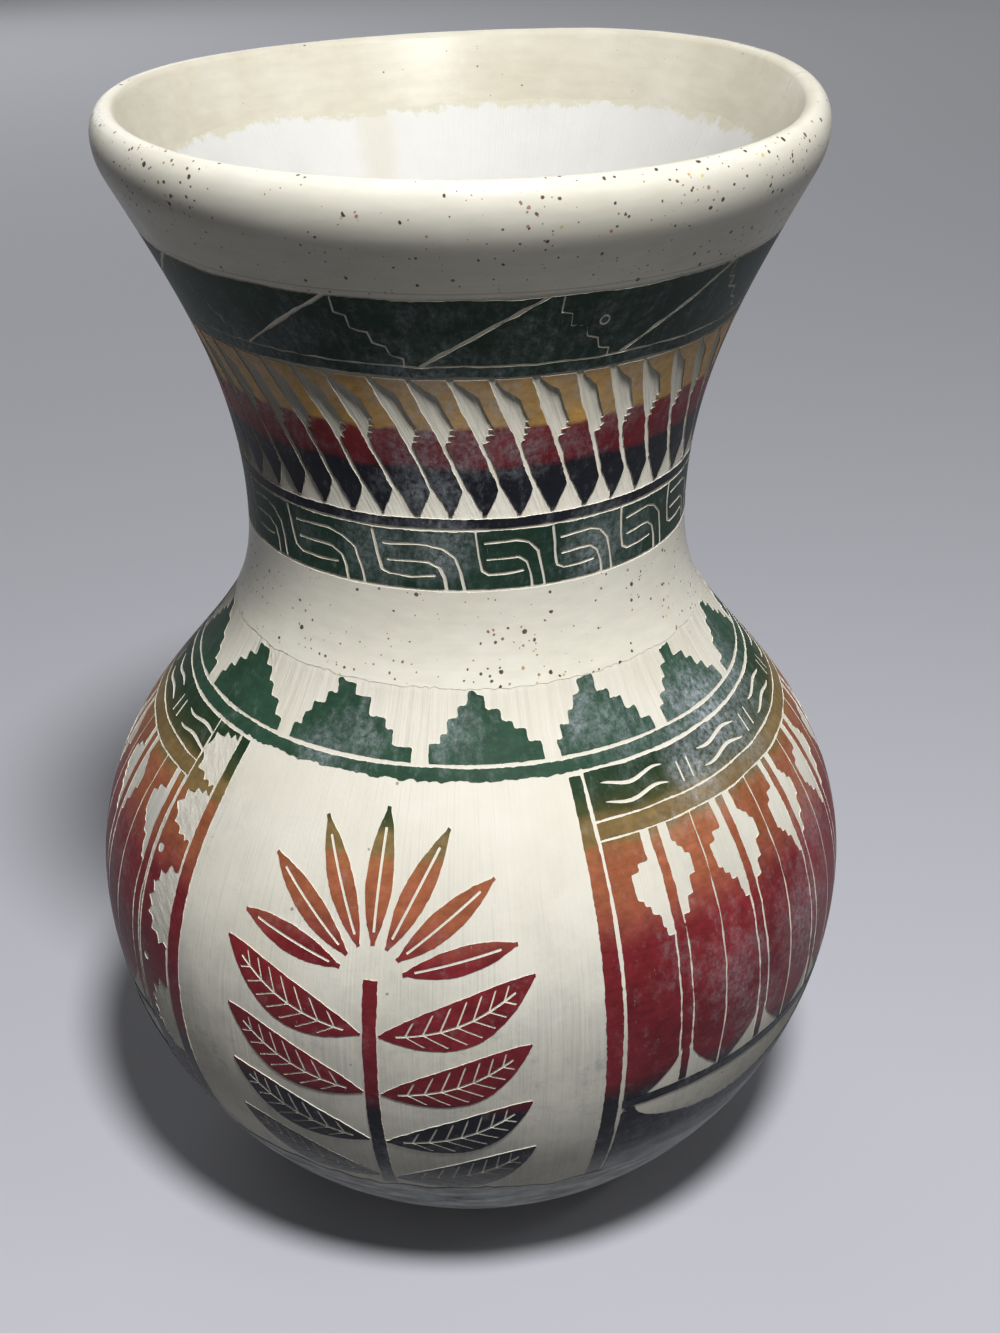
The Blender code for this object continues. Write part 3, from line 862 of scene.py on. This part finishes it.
def lining(height):
    """Depth of the inside clay, a little lower where glaze covers it."""
    return WALL - LIP_COAT * np.clip((height - 168) / 5, 0, 1)


def inside_edge(angle):
    """Height where the glaze ends inside."""
    return read_off(wrap(angle), INSIDE_EDGE)


def set_values(mesh, name, values):
    """Give every point of a mesh a number that its material reads."""
    made = mesh.attributes.new(name, "FLOAT", "POINT")
    made.data.foreach_set("value", values.ravel().astype(np.float32))


def vessel():
    """Clay body, with its outside just under the coats, cut deeper between feathers, and a stain inside."""
    angles = np.linspace(-180, 180, VESSEL_SIDES + 1)[:-1]
    edge = BASE_RADIUS - FOOT_BEVEL
    rings = [(0.0, 0.0), (BASE_RADIUS / 2, 0.0), (edge - 0.4, 0.0), (edge, 0.05)]
    rings += [sunk(height, 0) for height in np.linspace(FOOT_BEVEL, FOOT_BARE, 4)]
    rings += [sunk(height, SUNK) for height in np.linspace(FOOT_BARE + 0.4, SCOOPED[0] - 1, 50)]
    carved = np.linspace(*SCOOPED, 61)
    scoops = np.clip(-0.4 - feather_field(*np.meshgrid(angles, carved)), 0, 0.5) * 0.25
    rings += [sunk(height, SUNK + scoop) for height, scoop in zip(carved, soften(scoops, 2))]
    rings += [sunk(height, SUNK) for height in np.linspace(SCOOPED[1] + 1, MOUTH - 0.5, 12)]
    rings += lip_round(LIP_COAT, 6)
    outside = len(rings)
    inside = np.linspace(MOUTH, 12, 44)
    rings += [sunk(height, lining(height)) for height in inside]
    last = rings[-1]
    drop = last[1] - FLOOR
    for turn in np.linspace(0.1, 0.5, 6) * math.pi:
        rings.append((last[0] - drop * 1.5 * (1 - math.cos(turn)), last[1] - drop * math.sin(turn)))
    rings += [(rings[-1][0] / 2, FLOOR), (0.0, FLOOR)]
    mesh = turned_mesh("vessel_clay", rings, angles)
    inner = np.zeros((len(rings), len(angles)))
    inner[outside - 4:] = 1
    levels = np.zeros((len(rings), 1))
    levels[outside - 4:outside] = MOUTH
    levels[outside:outside + len(inside), 0] = inside
    swing = wrap(angles - DRIP_ANGLE)[None] / (DRIP_WIDTH * (1 + 0.2 * np.sin(levels * 0.35)))
    set_values(mesh, "inner", inner)
    set_values(mesh, "stain", np.exp(-swing ** 4) * np.clip((levels - DRIP_END) / 3, 0, 1))
    set_values(mesh, "glazed", levels - inside_edge(angles)[None])
    weld(mesh)
    smooth(mesh)
    return add_piece("vessel_clay", ["clay_body"], CLAY, mesh)


def lip():
    """Glaze over the lip, thinning out inside until it dips under the clay."""
    angles = np.linspace(-180, 180, LIP_SIDES + 1)[:-1]
    edge = inside_edge(angles) + 0.3 * grain(angles, 170 + 0 * angles, 2.5, 31)
    low = LIP_EDGE + 0.12 * grain(angles, 168 + 0 * angles, 6, 33)
    low = low + 0.06 * grain(angles, 168 + 0 * angles, 1.5, 34)
    shares = np.linspace(0, 1, 16)
    rings = [sunk(low + share * (MOUTH - low), 0) for share in shares]
    rings += lip_round(0, 12)[1:]
    inner_start = len(rings) - 12
    for share in shares[1:]:
        height = MOUTH - share * (MOUTH - edge)
        rings.append(sunk(height, lining(height) + LIP_COAT - 0.2 * share * share))
    inner_end = len(rings)
    rings += [sunk(MOUTH - share * (MOUTH - edge), WALL - LIP_EMBED) for share in shares[::-1]]
    rings += lip_round(LIP_EMBED, 12)[::-1][1:]
    rings += [sunk(low + share * (MOUTH - low), SUNK + EMBED) for share in shares[-2::-1]]
    mesh = turned_mesh("lip_glaze_coat", rings + rings[:1], angles)
    inner = np.zeros((len(rings) + 1, len(angles)))
    inner[inner_start:inner_end] = np.linspace(0, 4, inner_end - inner_start).clip(0, 1)[:, None]
    set_values(mesh, "inner", inner)
    weld(mesh)
    smooth(mesh, 50)
    return add_piece("lip_glaze_coat", ["lip_glaze"], LIP_GLAZE, mesh)


lip()

# Bands round the neck

ROUND = (-180, 180)
NECK_BAND = (155.4, 167.75)
NECK_LINE = 157.2
NECK_START = -4.0
NECK_PITCH = 36.0
NECK_SLANT = [(-18, 168), (-39, 157.4)]
NECK_STAIRS = [(-16.5, 167.5), (-16.5, 165.2), (-14.6, 164.8), (-14.4, 163), (-11.5, 162.5), (-11, 160.9),
               (-8.8, 160.4), (-8.2, 158.9), (-6, 158.5), (-6, 157.3)]
NECK_RING = (23.7, 163.2)


def neck_field(angle, height):
    """Neck band with slanting lines, stairs, a line along its foot and one small ring."""
    height = height + 0.18 * grain(angle, height, 9, 41)
    shape = between(height, *NECK_BAND) + ragged(angle, height, 0.6)
    step, mark = repeat(angle, NECK_START, NECK_PITCH)
    unit = degree(162)
    x = (step + shaken(mark, 1.2, 42)) * unit
    y = height + 0.12 * grain(angle, height, 2.5, 43)
    thin = 0.24 + 0.12 * grain(angle, height, 2.2, 44)
    broad = 0.55 + shaken(mark, 0.15, 45) + 0.25 * grain(angle, height, 2.2, 44)
    slants = [stroke(x, y, [((a + shift) * unit, z) for a, z in NECK_SLANT], broad)
              for shift in (0, NECK_PITCH)]
    stairs = stroke(x, y, [(a * unit, z) for a, z in NECK_STAIRS], thin - 0.03)
    line = thin / 2 + 0.02 - np.abs(y - NECK_LINE)
    ring = 0.13 - np.abs(np.hypot(wrap(angle - NECK_RING[0]) * unit, y - NECK_RING[1]) - 0.65)
    return cut(shape, *slants, stairs, line, ring)


# Feathers: a slanting line with its half width and a wedge on its right by height, and a pointed end
FEATHER_BAND = (132.45, 154.95)
FEATHER_RED = 140.3
FEATHER_OCHRE = 146.8
FEATHER_OVERLAP = 0.02
FEATHER_PITCH = 360 / 46
FEATHER_TIP = 137.4
FEATHER_BARBS = 143.7
FEATHER_THICK = [(137, 0.33), (146, 0.40), (155, 0.44)]
FEATHER_LINE = [(131, 7.65), (136.5, 7.65), (140, 5.6), (145.5, 2.6), (150, -0.35), (155.2, -2.85)]
FEATHER_WEDGE = [(143.8, 0.25), (144.5, 0.5), (144.6, 1.35), (145.5, 1.0), (145.6, 2.2), (146.6, 1.7),
                 (146.7, 3.1), (147.7, 2.6), (147.8, 4.0), (149.0, 3.8), (150.3, 3.9), (151.2, 3.5),
                 (152.1, 2.6), (153.1, 1.6), (154.1, 0.8), (154.8, 0.4)]


def feather_field(angle, height):
    """Band of feathers, parted by lines that widen into wedges above and between the points below."""
    angle = angle + 0.25 * grain(angle, height, 7, 51)
    step, mark = repeat(angle - read_off(height, FEATHER_LINE), 0, FEATHER_PITCH)
    unit = degree(height)
    x = (step + shaken(mark, 0.5, 52)) * unit + 0.08 * grain(angle, height, 1.3, 53)
    y = height + shaken(mark, 0.3, 54)
    shape = between(height, *FEATHER_BAND) + ragged(angle, height, 0.5)
    thick = read_off(height, FEATHER_THICK) + 0.05 * grain(angle, height, 2.3, 55)
    line = thick - np.abs(x) + ragged(angle, height, 0.8)
    wide = read_off(y, FEATHER_WEDGE) * (1 + shaken(mark, 0.18, 56))
    wide = wide + 0.2 * grain(angle, height, 1.2, 57)
    wedge = common(x + 0.1, wide - x, y - FEATHER_BARBS) + ragged(angle, height, 0.7)
    tip = np.clip((FEATHER_TIP - y) / 5.0, 0, 1.2)
    foot = common(0.2 + 2.45 * tip ** 1.1 - x, x + 0.2 + 1.75 * tip ** 1.5, FEATHER_TIP - y)
    foot = foot + ragged(angle, height, 0.7)
    return cut(shape, line, wedge, foot)


def part_of(field, low, high):
    """Same field, kept between two heights."""
    return lambda angle, height: common(field(angle, height), between(height, low, high))


# Key fret: where each key begins, its strokes by share of its length, and that length
KEY_BAND = (120.55, 129.9)
KEY_LENGTH = 12.4
KEY_STARTS = np.array([-49, -23.5, 1.5, 20, 39, 58.5] + [58.5 + 252.5 * k / 13 for k in range(1, 13)])
KEY_STROKES = [
    [(0.03, 129.6), (0.06, 125.8), (0.10, 123.4), (0.19, 122.75), (0.40, 122.7), (0.63, 122.95)],
    [(0.14, 127.7), (0.35, 128.0), (0.55, 128.1), (0.70, 127.5), (0.83, 125.9), (0.88, 123.5),
     (0.92, 120.3)],
    [(0.17, 125.1), (0.40, 125.3), (0.57, 125.25), (0.68, 124.3), (0.73, 122.5), (0.75, 120.3)]]


def key_field(angle, height):
    """Band with the strokes of the key fret."""
    place = np.mod(angle - KEY_STARTS[0], 360) + KEY_STARTS[0]
    i = np.searchsorted(KEY_STARTS, place, side="right") - 1
    lengths = np.diff(np.append(KEY_STARTS, KEY_STARTS[0] + 360))
    x = (place - KEY_STARTS[i]) / lengths[i] * KEY_LENGTH + 0.15 * grain(angle, height, 2.7, 61)
    y = height + 0.15 * grain(angle, height, 4.5, 62) + shaken(i, 0.25, 63)
    shape = between(height, *KEY_BAND) + ragged(angle, height, 0.6)
    width = 0.4 + 0.12 * grain(angle, height, 3, 64)
    marks = [stroke(x, y, [(u * KEY_LENGTH, z) for u, z in line], width) for line in KEY_STROKES]
    return cut(shape, *marks)


NAVY_STRIPE = (130.35, 131.9)
COLLAR = (105.75, 120.1)


def stripe_field(angle, height):
    """Narrow stripe under the feathers."""
    return between(height + 0.12 * grain(angle, height, 11, 71), *NAVY_STRIPE) + ragged(angle, height, 0.6)


def collar_field(angle, height):
    """Collar with a lower edge that the strokes of the etching tool run into."""
    bite = 0.12 * grain(angle, 0 * height, 1.1, 72) + 0.15 * grain(angle, 0 * height, 4.3, 73)
    return common(COLLAR[1] - height, height - COLLAR[0] - bite) + ragged(angle, height, 0.4)


vessel()
etched("neck_coat", ["neck_slip"], NECK_SLIP, ROUND, (154.8, 168.4), neck_field)
etched("feather_ochre_coat", ["feather_ochre"], FEATHER_SLIP, ROUND, (146.5, 155.4),
       part_of(feather_field, FEATHER_OCHRE - FEATHER_OVERLAP, 156), FINE_CELL)
etched("feather_red_coat", ["feather_red"], FEATHER_SLIP, ROUND, (140, 147.1),
       part_of(feather_field, FEATHER_RED - FEATHER_OVERLAP, FEATHER_OCHRE + FEATHER_OVERLAP), FINE_CELL)
etched("feather_navy_coat", ["feather_navy"], FEATHER_SLIP, ROUND, (132, 140.6),
       part_of(feather_field, 131, FEATHER_RED + FEATHER_OVERLAP), FINE_CELL)
etched("navy_stripe_coat", ["navy_stripe"], FEATHER_SLIP, ROUND, (130, 132.2), stripe_field)
etched("key_coat", ["key_slip"], NECK_SLIP, ROUND, (120.1, 130.3), key_field, FINE_CELL)
etched("collar_coat", ["collar_glaze"], COLLAR_GLAZE, ROUND, (104.6, 120.5), collar_field,
       FINE_CELL)

# Terraces and stripe on the shoulder

TERRACE_STEMS = [-69, -40.3, -10.4, 15.5, 41, 66.5, 91.5, 116.4, 141.3, 166.2, 191.1, 216, 241, 266, 291]
TERRACE_TOPS = [-54.5, -28.3, 1.6, 26.6, 51.3, 77.6]
TERRACE_TIERS = [(98.5, 1.0), (100.2, 0.80), (101.7, 0.60), (103.3, 0.40), (105.3, 0.17)]
TERRACE_FOOT = 96.5
STEM_HALF = 1.45
SHOULDER_STRIPE = (94.5, 96.05)


def terrace_field(i):
    """Stepped terrace between two stems, with its own steps on each side."""
    left, right = TERRACE_STEMS[i] + STEM_HALF, TERRACE_STEMS[i + 1] - STEM_HALF
    middle = TERRACE_TOPS[i] if i < len(TERRACE_TOPS) else (left + right) / 2
    chance = np.random.default_rng(80 + i)
    steps = [(top + chance.uniform(-0.35, 0.35), top + chance.uniform(-0.35, 0.35), share,
              chance.uniform(0.93, 1.07), chance.uniform(0.93, 1.07)) for top, share in TERRACE_TIERS]

    def field(angle, height):
        unit = degree(100)
        y = height + 0.15 * grain(angle, height, 3, 81)
        side = angle - middle + 0.35 * grain(angle, height, 2.2, 82) + 0.10 * (y - 101)
        shape = np.full(np.shape(angle), -9.0)
        for left_top, right_top, share, left_swing, right_swing in steps:
            low = (middle - left) * min(share * left_swing, 1)
            high = (right - middle) * min(share * right_swing, 1)
            crest = np.where(side < 0, left_top, right_top)
            shape = union(shape, common((side + low) * unit, (high - side) * unit, crest - y))
        shape = soften(shape, 5) + ragged(angle, height, 0.9)
        return common(shape, height - TERRACE_FOOT + ragged(angle, height, 0.4))

    return field, (left - 4, right + 4)


for i in range(len(TERRACE_STEMS) - 1):
    field, reach = terrace_field(i)
    etched(f"terrace_coat_{i + 1:02d}", [f"terrace_{i + 1:02d}"], SHOULDER_SLIP, reach,
           (96, 106), field, FINEST_CELL)


def shoulder_stripe_field(angle, height):
    """Stripe under the terraces, with a rougher lower edge over the panel."""
    over_panel = common(angle - PANEL_LEFT + 3, PANEL_RIGHT + 3 - angle) > 0
    rough = 0.16 * grain(angle, height, 1.6, 91) + 0.1 * grain(angle, height, 0.7, 92)
    bottom = SHOULDER_STRIPE[0] + np.where(over_panel, rough, 0)
    shape = common(height - bottom, SHOULDER_STRIPE[1] - height + 0.1 * grain(angle, height, 8, 93))
    return shape + ragged(angle, height, 0.5)


etched("shoulder_stripe_coat", ["shoulder_stripe"], SHOULDER_SLIP, ROUND, (93.8, 96.4),
       shoulder_stripe_field, FINEST_CELL)

# Frieze

FRIEZE_GREEN = (88.42, 94.05)
FRIEZE_OCHRE = (86.07, 88.18)
FRIEZE_RED = (44.95, 85.83)
FRIEZE_PITCH = 15.04
FRIEZE_FIRST = 30.3

# Steps of the white diamonds: lower and upper height and half width, left and right of the middle
DIAMOND_LEFT = [(82.3, 86.2, 2.3), (81.2, 82.3, 4.3), (77.6, 81.2, 5.7), (76.6, 77.6, 4.8),
                (75.3, 76.6, 3.9), (73.2, 75.3, 2.6), (71.9, 73.2, 2.1)]
DIAMOND_RIGHT = [(83.2, 86.2, 2.4), (82.4, 83.2, 3.1), (81.2, 82.4, 3.9), (78.5, 81.2, 4.8),
                 (76.1, 78.5, 3.6), (73.7, 76.1, 2.4)]
WAVE_PITCH = 22.3
WAVE_FIRST = 30.5
WAVE_HALF = 6.8
WAVES = [(92.15, 0.0), (90.05, 0.6)]
TICKS = (9.6, 12.4)


def frieze_span(angle, height):
    """Distance inside the frieze, between the white lines at its two ends."""
    return common((angle - FRIEZE_START) * degree(height), (FRIEZE_END - angle) * degree(height)) + 0.12


def green_field(angle, height):
    """Top of the frieze, with pairs of waves and of ticks."""
    y = height + 0.15 * grain(angle, height, 5, 101)
    shape = common(between(y, *FRIEZE_GREEN), frieze_span(angle, height)) + ragged(angle, height, 0.5)
    step, mark = repeat(angle, WAVE_FIRST, WAVE_PITCH)
    unit = degree(91)
    phase = shaken(mark, 1.5, 102)
    swell = np.sqrt(np.clip(1 - (step / WAVE_HALF) ** 2, 0, 1))
    waves = []
    for middle, lag in WAVES:
        course = middle + 0.32 * np.sin(step * 0.52 + phase + lag)
        waves.append(0.25 * swell - np.abs(y - course) - np.where(np.abs(step) > WAVE_HALF, 0.5, 0))
    tick_step = np.where(step < 0, step + WAVE_PITCH, step) + 0.4 * grain(angle, height, 4, 103)
    ticks = [stroke(tick_step * unit, y, [(a * unit, 89.6), (a * unit + 0.2, 91.9)], 0.36)
             for a in TICKS]
    return cut(shape, *waves, *ticks)


def ochre_field(angle, height):
    """Narrow stripe of the frieze."""
    y = height + 0.15 * grain(angle, height, 5, 101)
    return common(between(y, *FRIEZE_OCHRE), frieze_span(angle, height)) + ragged(angle, height, 0.5)


def red_field(angle, height):
    """Tall panels of the frieze, parted by white lines with stepped diamonds, and rounded at the foot."""
    y = height + 0.2 * grain(angle, height, 5, 101)
    shape = common(between(y, *FRIEZE_RED), frieze_span(angle, height)) + ragged(angle, height, 0.5)
    wobble = 0.14 * grain(angle, height, 6, 111) + 0.09 * grain(angle, height, 2, 112)
    step, mark = repeat(angle, FRIEZE_FIRST, FRIEZE_PITCH)
    unit = degree(height)
    x = (step + shaken(mark, 0.45, 113)) * unit + wobble
    side = np.abs(x)
    y = y + shaken(mark * 2 + (x > 0), 0.35, 114)
    grow = 1 + shaken(mark * 2 + (x > 0), 0.1, 115)
    white = common(0.17 - np.abs(side - 1.0 - 0.006 * (80 - y)), 86 - y)
    blocks = np.full(np.shape(angle), -9.0)
    for steps, here in ((DIAMOND_LEFT, x < 0), (DIAMOND_RIGHT, x >= 0)):
        for low, high, wide in steps:
            block = common(wide * grow - side, between(y, low - 0.05, high + 0.05))
            blocks = np.where(here, union(blocks, block), blocks)
    blocks = common(soften(blocks, 5), side - 0.85)
    white = union(white, blocks) + ragged(angle, height, 0.7)
    drop = np.clip((52 - y) / 6.8, 0, 1.2)
    foot = common(1.0 + 5.4 * drop ** 1.6 - side, side - 0.75, 52 - y) + ragged(angle, height, 0.5)
    far = (FRIEZE_PITCH / 2 - np.abs(step)) * unit * np.sign(step) + wobble - (66 - y) * 0.03
    single = 0.15 + 0.04 * grain(angle, height, 3, 116) - np.abs(far) + ragged(angle, height, 0.4)
    single = common(single, angle - FRIEZE_START - 4, FRIEZE_END - 4 - angle)
    return cut(shape, white, foot, single)


BEHIND = (FRIEZE_START - 1, FRIEZE_END + 1)
etched("frieze_green_coat", ["frieze_green"], FRIEZE_SLIP, BEHIND, (88, 94.6), green_field)
etched("frieze_ochre_coat", ["frieze_ochre"], FRIEZE_SLIP, BEHIND, (85.7, 88.5), ochre_field)
etched("frieze_red_coat", ["frieze_red"], FRIEZE_SLIP, BEHIND, (44.4, 86.3), red_field)

# Strips, scallops and foot

STRIPS = (24.5, 94.6)
STRIP_TOP = 94.0
STRIP_FOOT = PANEL_FLOOR + 0.6
ZIGZAG_LEFT = FRIEZE_END - 360 + 0.5
ZIGZAG_RIGHT = PANEL_LEFT - STRIP - 0.55

# Scallops bitten out of the zigzag: height, half height and depth. Dots: angle and height
SCALLOPS = [(90.2, 3.6, 7.0), (82.6, 3.7, 6.4), (68.4, 6.9, 6.2), (47.8, 8.2, 6.2)]
DOTS = [(-55.6, 75.9), (-55.2, 57.5), (-54.8, 38.0)]
DOT_RADIUS = 0.75

# Foot: top of the slip, and the pale lenses under it
BASE_TOP = 44.55
BASE_EDGE = 3.5
LENS_TOP = 42.8
LENS_DROP = 7.6
LENS_PITCH = 45.1
LENS_HALF = LENS_PITCH / 2 - 0.8


def upright(angle, height, low, high):
    """Distance inside a strip between two angles, as tall as the panel."""
    unit = degree(height)
    return common((angle - low) * unit, (high - angle) * unit, between(height, STRIP_FOOT, STRIP_TOP))


def strip_field(low, high):
    """Plain strip between two angles."""
    def field(angle, height):
        shape = upright(angle, height, low, high) + ragged(angle, height, 0.8)
        return shape + 0.1 * grain(angle, height, 9, 121)

    return field


def zigzag_field(angle, height):
    """Strip with scallops bitten out of its right side, and dots."""
    unit = degree(height)
    shape = upright(angle, height, ZIGZAG_LEFT, ZIGZAG_RIGHT) + ragged(angle, height, 0.6)
    x = (ZIGZAG_RIGHT - angle) * unit
    holes = []
    for middle, half, reach in SCALLOPS:
        y = (height - middle) / half
        turn = np.arctan2(y * half, np.maximum(x, 0.01))
        petals = 1 - 0.15 * np.abs(np.sin(turn * 7.5))
        bound = 1 - np.hypot(x / (reach * petals), y / petals)
        holes.append(bound * 3 + ragged(angle, height, 0.8))
    for dot_angle, dot_height in DOTS:
        gap = np.hypot((angle - dot_angle) * unit, height - dot_height)
        holes.append(DOT_RADIUS - gap + ragged(angle, height, 0.6))
    return cut(shape, *holes)


def base_field(angle, height):
    """Slip of the foot, lower under the panel, with pale lenses cut out."""
    unit = degree(height)
    behind = common((angle - PANEL_RIGHT - STRIP - 0.6) * unit, (FRIEZE_END + 0.2 - angle) * unit)
    rough = 0.8 * grain(angle, height, 4, 131) + 0.4 * grain(angle, height, 1.5, 132)
    shape = union(common(behind, BASE_TOP - height), PANEL_FLOOR - 0.3 + rough - height)
    step = repeat(angle, FRIEZE_START + LENS_PITCH / 2 + 1.2, LENS_PITCH)[0]
    arc = LENS_TOP - LENS_DROP * np.sqrt(np.clip(1 - (step / LENS_HALF) ** 2, 0, 1))
    lens = common(LENS_TOP - height, height - arc) + ragged(angle, height, 0.6)
    lens = np.where(np.abs(step) > LENS_HALF, -1, lens)
    foot = height - BASE_EDGE - 0.5 * grain(angle, height, 3, 133)
    return common(cut(shape + ragged(angle, height, 0.5), lens), foot)


etched("strip_right_coat", ["panel_strip_right"], FRIEZE_SLIP, (PANEL_RIGHT - 1, 21.5), STRIPS,
       strip_field(PANEL_RIGHT, PANEL_RIGHT + STRIP), FINE_CELL)
etched("strip_left_coat", ["panel_strip_left"], FRIEZE_SLIP, (-50.5, PANEL_LEFT + 1), STRIPS,
       strip_field(PANEL_LEFT - STRIP, PANEL_LEFT), FINE_CELL)
etched("zigzag_coat", ["zigzag_slip"], FRIEZE_SLIP, (-58.5, -48.5), STRIPS, zigzag_field,
       FINEST_CELL)
etched("base_coat", ["base_slip"], BASE_SLIP, (0, 360), (2.6, 45), base_field,
       COARSE_CELL, False)

# Sprig on the panel

SPRIG_MIDDLE = (PANEL_LEFT + PANEL_RIGHT) / 2
SPRIG_FOOT = 25.3
SPRIG_HEAD = 69.3
STEM_WIDTH = 2.2
LEAF_ROWS = 4
LEAF_STEP = 11
LEAF_START = 1.4
LEAF_REACH = 24.3
LEAF_RISE = 10
LEAF_SAG = 2.4
LEAF_WIDTH = 7.6
RAYS = 7
RAY_TURN = 25
RAY_START = 5
RAY_REACH = 22
RAY_WIDTH = 4


def leaf_field(foot, tip, sag, width, veins):
    """Leaf from foot to tip, both as sideways distance and height, with a scratched midrib and veins."""
    run = np.array(tip) - foot
    length = math.hypot(*run)

    def field(angle, height):
        x = wrap(angle - SPRIG_MIDDLE) * degree(height) - foot[0]
        y = height - foot[1]
        along = (x * run[0] + y * run[1]) / length
        side = (y * run[0] - x * run[1]) / length
        share = np.clip(along / length, 0, 1)
        swell = np.maximum(np.sin(math.pi * share) ** 0.8 * width, 0.6)
        off = side - sag * np.sin(math.pi * share)
        shape = common(swell / 2 - np.abs(off), between(along, 0, length)) + ragged(angle, height, 0.6)
        rib = common(0.2 - np.abs(off), between(share, 0.1, 0.86) * length)
        holes = [rib]
        if veins:
            slope = np.mod(along - 0.9 * np.abs(off), 2.6) - 1.3
            holes.append(common(0.17 - np.abs(slope), swell / 2 - 0.55 - np.abs(off),
                                between(share, 0.12, 0.85) * length))
        return cut(shape, *holes)

    return field


def stem_field(angle, height):
    """Upright stem of the sprig."""
    x = wrap(angle - SPRIG_MIDDLE) * degree(height)
    shape = common(STEM_WIDTH / 2 - np.abs(x), between(height, SPRIG_FOOT, SPRIG_HEAD))
    return shape + ragged(angle, height, 0.7)


def sprig():
    """Stem with leaves on both sides and rays above it."""
    etched("sprig_stem_coat", ["sprig_stem"], FRIEZE_SLIP, (SPRIG_MIDDLE - 3, SPRIG_MIDDLE + 3),
           (SPRIG_FOOT - 1, SPRIG_HEAD + 1), stem_field, FINEST_CELL)
    for i in range(LEAF_ROWS):
        base = SPRIG_FOOT + LEAF_STEP * (i + 0.2)
        for side, word in ((-1, "left"), (1, "right")):
            field = leaf_field((side * LEAF_START, base), (side * LEAF_REACH, base + LEAF_RISE),
                               -side * LEAF_SAG, LEAF_WIDTH, True)
            reach = (SPRIG_MIDDLE - 28, SPRIG_MIDDLE) if side < 0 else (SPRIG_MIDDLE, SPRIG_MIDDLE + 28)
            etched(f"sprig_leaf_{word}_coat_{i + 1}", [f"sprig_leaf_{word}_{i + 1}"],
                   FRIEZE_SLIP, reach, (base - 7, base + 14), field, FINEST_CELL)
    for i in range(RAYS):
        turn = math.radians(RAY_TURN * (i - 3))
        inner = (RAY_START * math.sin(turn), SPRIG_HEAD + RAY_START * math.cos(turn))
        outer = (RAY_REACH * math.sin(turn), SPRIG_HEAD + RAY_REACH * math.cos(turn))
        etched(f"sprig_ray_coat_{i + 1}", [f"sprig_ray_{i + 1}"], FRIEZE_SLIP,
               (SPRIG_MIDDLE - 26, SPRIG_MIDDLE + 26), (SPRIG_HEAD, SPRIG_HEAD + 24),
               leaf_field(inner, outer, 0, RAY_WIDTH, False), FINEST_CELL)


sprig()

# Camera, light and stage, in metres

CAMERA_PLACE = Vector((0, -0.28817, 0.24212))
CAMERA_AIM = Vector((0.005155, 0, 0.089293))
CAMERA_ROLL = -0.0069008
CAMERA_LENS = 52.2335
CAMERA_SENSOR = 36

# Lamps: place, aim, width, height and power in watts
LAMPS = {"key": ((0.074, -0.318, 0.69), (0, 0, 0.09), 0.12, 0.12, 5.8),
         "side": ((0.61, -0.32, 0.78), (0, 0, 0.17), 0.30, 0.04, 0.4),
         "rear": ((-0.35, 1.05, 0.55), (0, 0, 0.09), 0.9, 0.9, 2.2)}

# Floor and world: colours and strengths as lit, and as the camera sees them
FLOOR_HALF = 6
FLOOR_LIT = (0.17, 0.17, 0.18)
FLOOR_SEEN = (0.50, 0.505, 0.55)
FLOOR_GLOW = (0.96, 0.97, 1.0)
FLOOR_GLOW_SPAN = (0.25, 1.2, 0.015, 0.15)
SKY = (0.95, 0.97, 1.0)
SKY_LIT = 0.045
SKY_SEEN = 0.2


def camera():
    """Camera at the photograph's viewing angle."""
    data = bpy.data.cameras.new("camera")
    data.lens = CAMERA_LENS
    data.sensor_width = CAMERA_SENSOR
    ahead = (CAMERA_AIM - CAMERA_PLACE).normalized()
    right = ahead.cross(Vector((0, 0, 1))).normalized()
    up = right.cross(ahead)
    across = math.cos(CAMERA_ROLL) * right + math.sin(CAMERA_ROLL) * up
    above = -math.sin(CAMERA_ROLL) * right + math.cos(CAMERA_ROLL) * up
    turn = Matrix((across, above, -ahead)).transposed().to_4x4()
    item = put("camera", data)
    item.matrix_world = Matrix.Translation(CAMERA_PLACE) @ turn
    bpy.context.scene.camera = item


def lamp(name, place, target, wide, tall, power):
    """Oval area lamp that faces its target."""
    data = bpy.data.lights.new(name, "AREA")
    data.shape = "ELLIPSE"
    data.size = wide
    data.size_y = tall
    data.energy = power
    item = put(name, data)
    item.location = place
    item.rotation_euler = (Vector(target) - Vector(place)).to_track_quat("-Z", "Y").to_euler()


def stage():
    """Plain floor, world and lamps."""
    mesh = bpy.data.meshes.new("floor")
    corners = [(-1, -1), (1, -1), (1, 1), (-1, 1)]
    mesh.from_pydata([(x * FLOOR_HALF, y * FLOOR_HALF, 0) for x, y in corners], [], [(0, 1, 2, 3)])
    s = Surface("floor")
    seen = s.seen()
    away = s.node("ShaderNodeVectorMath", {0: s.place}, operation="LENGTH")["Value"]
    glow = s.times(seen, s.span(away, *FLOOR_GLOW_SPAN))
    mesh.materials.append(s.finish(Base_Color=s.mix(seen, FLOOR_LIT, FLOOR_SEEN), Roughness=0.9,
                                   Specular_IOR_Level=0.1, Emission_Color=FLOOR_GLOW,
                                   Emission_Strength=glow))
    floor = put("floor", mesh)
    sky = Nodes(bpy.data.worlds.new("studio"), "Background")
    strength = sky.span(sky.seen(), 0.0, 1.0, SKY_LIT, SKY_SEEN)
    bpy.context.scene.world = sky.finish(Color=SKY, Strength=strength)
    for name, values in LAMPS.items():
        lamp(name, *values)
    bpy.context.scene.view_settings.view_transform = "Standard"


camera()
stage()
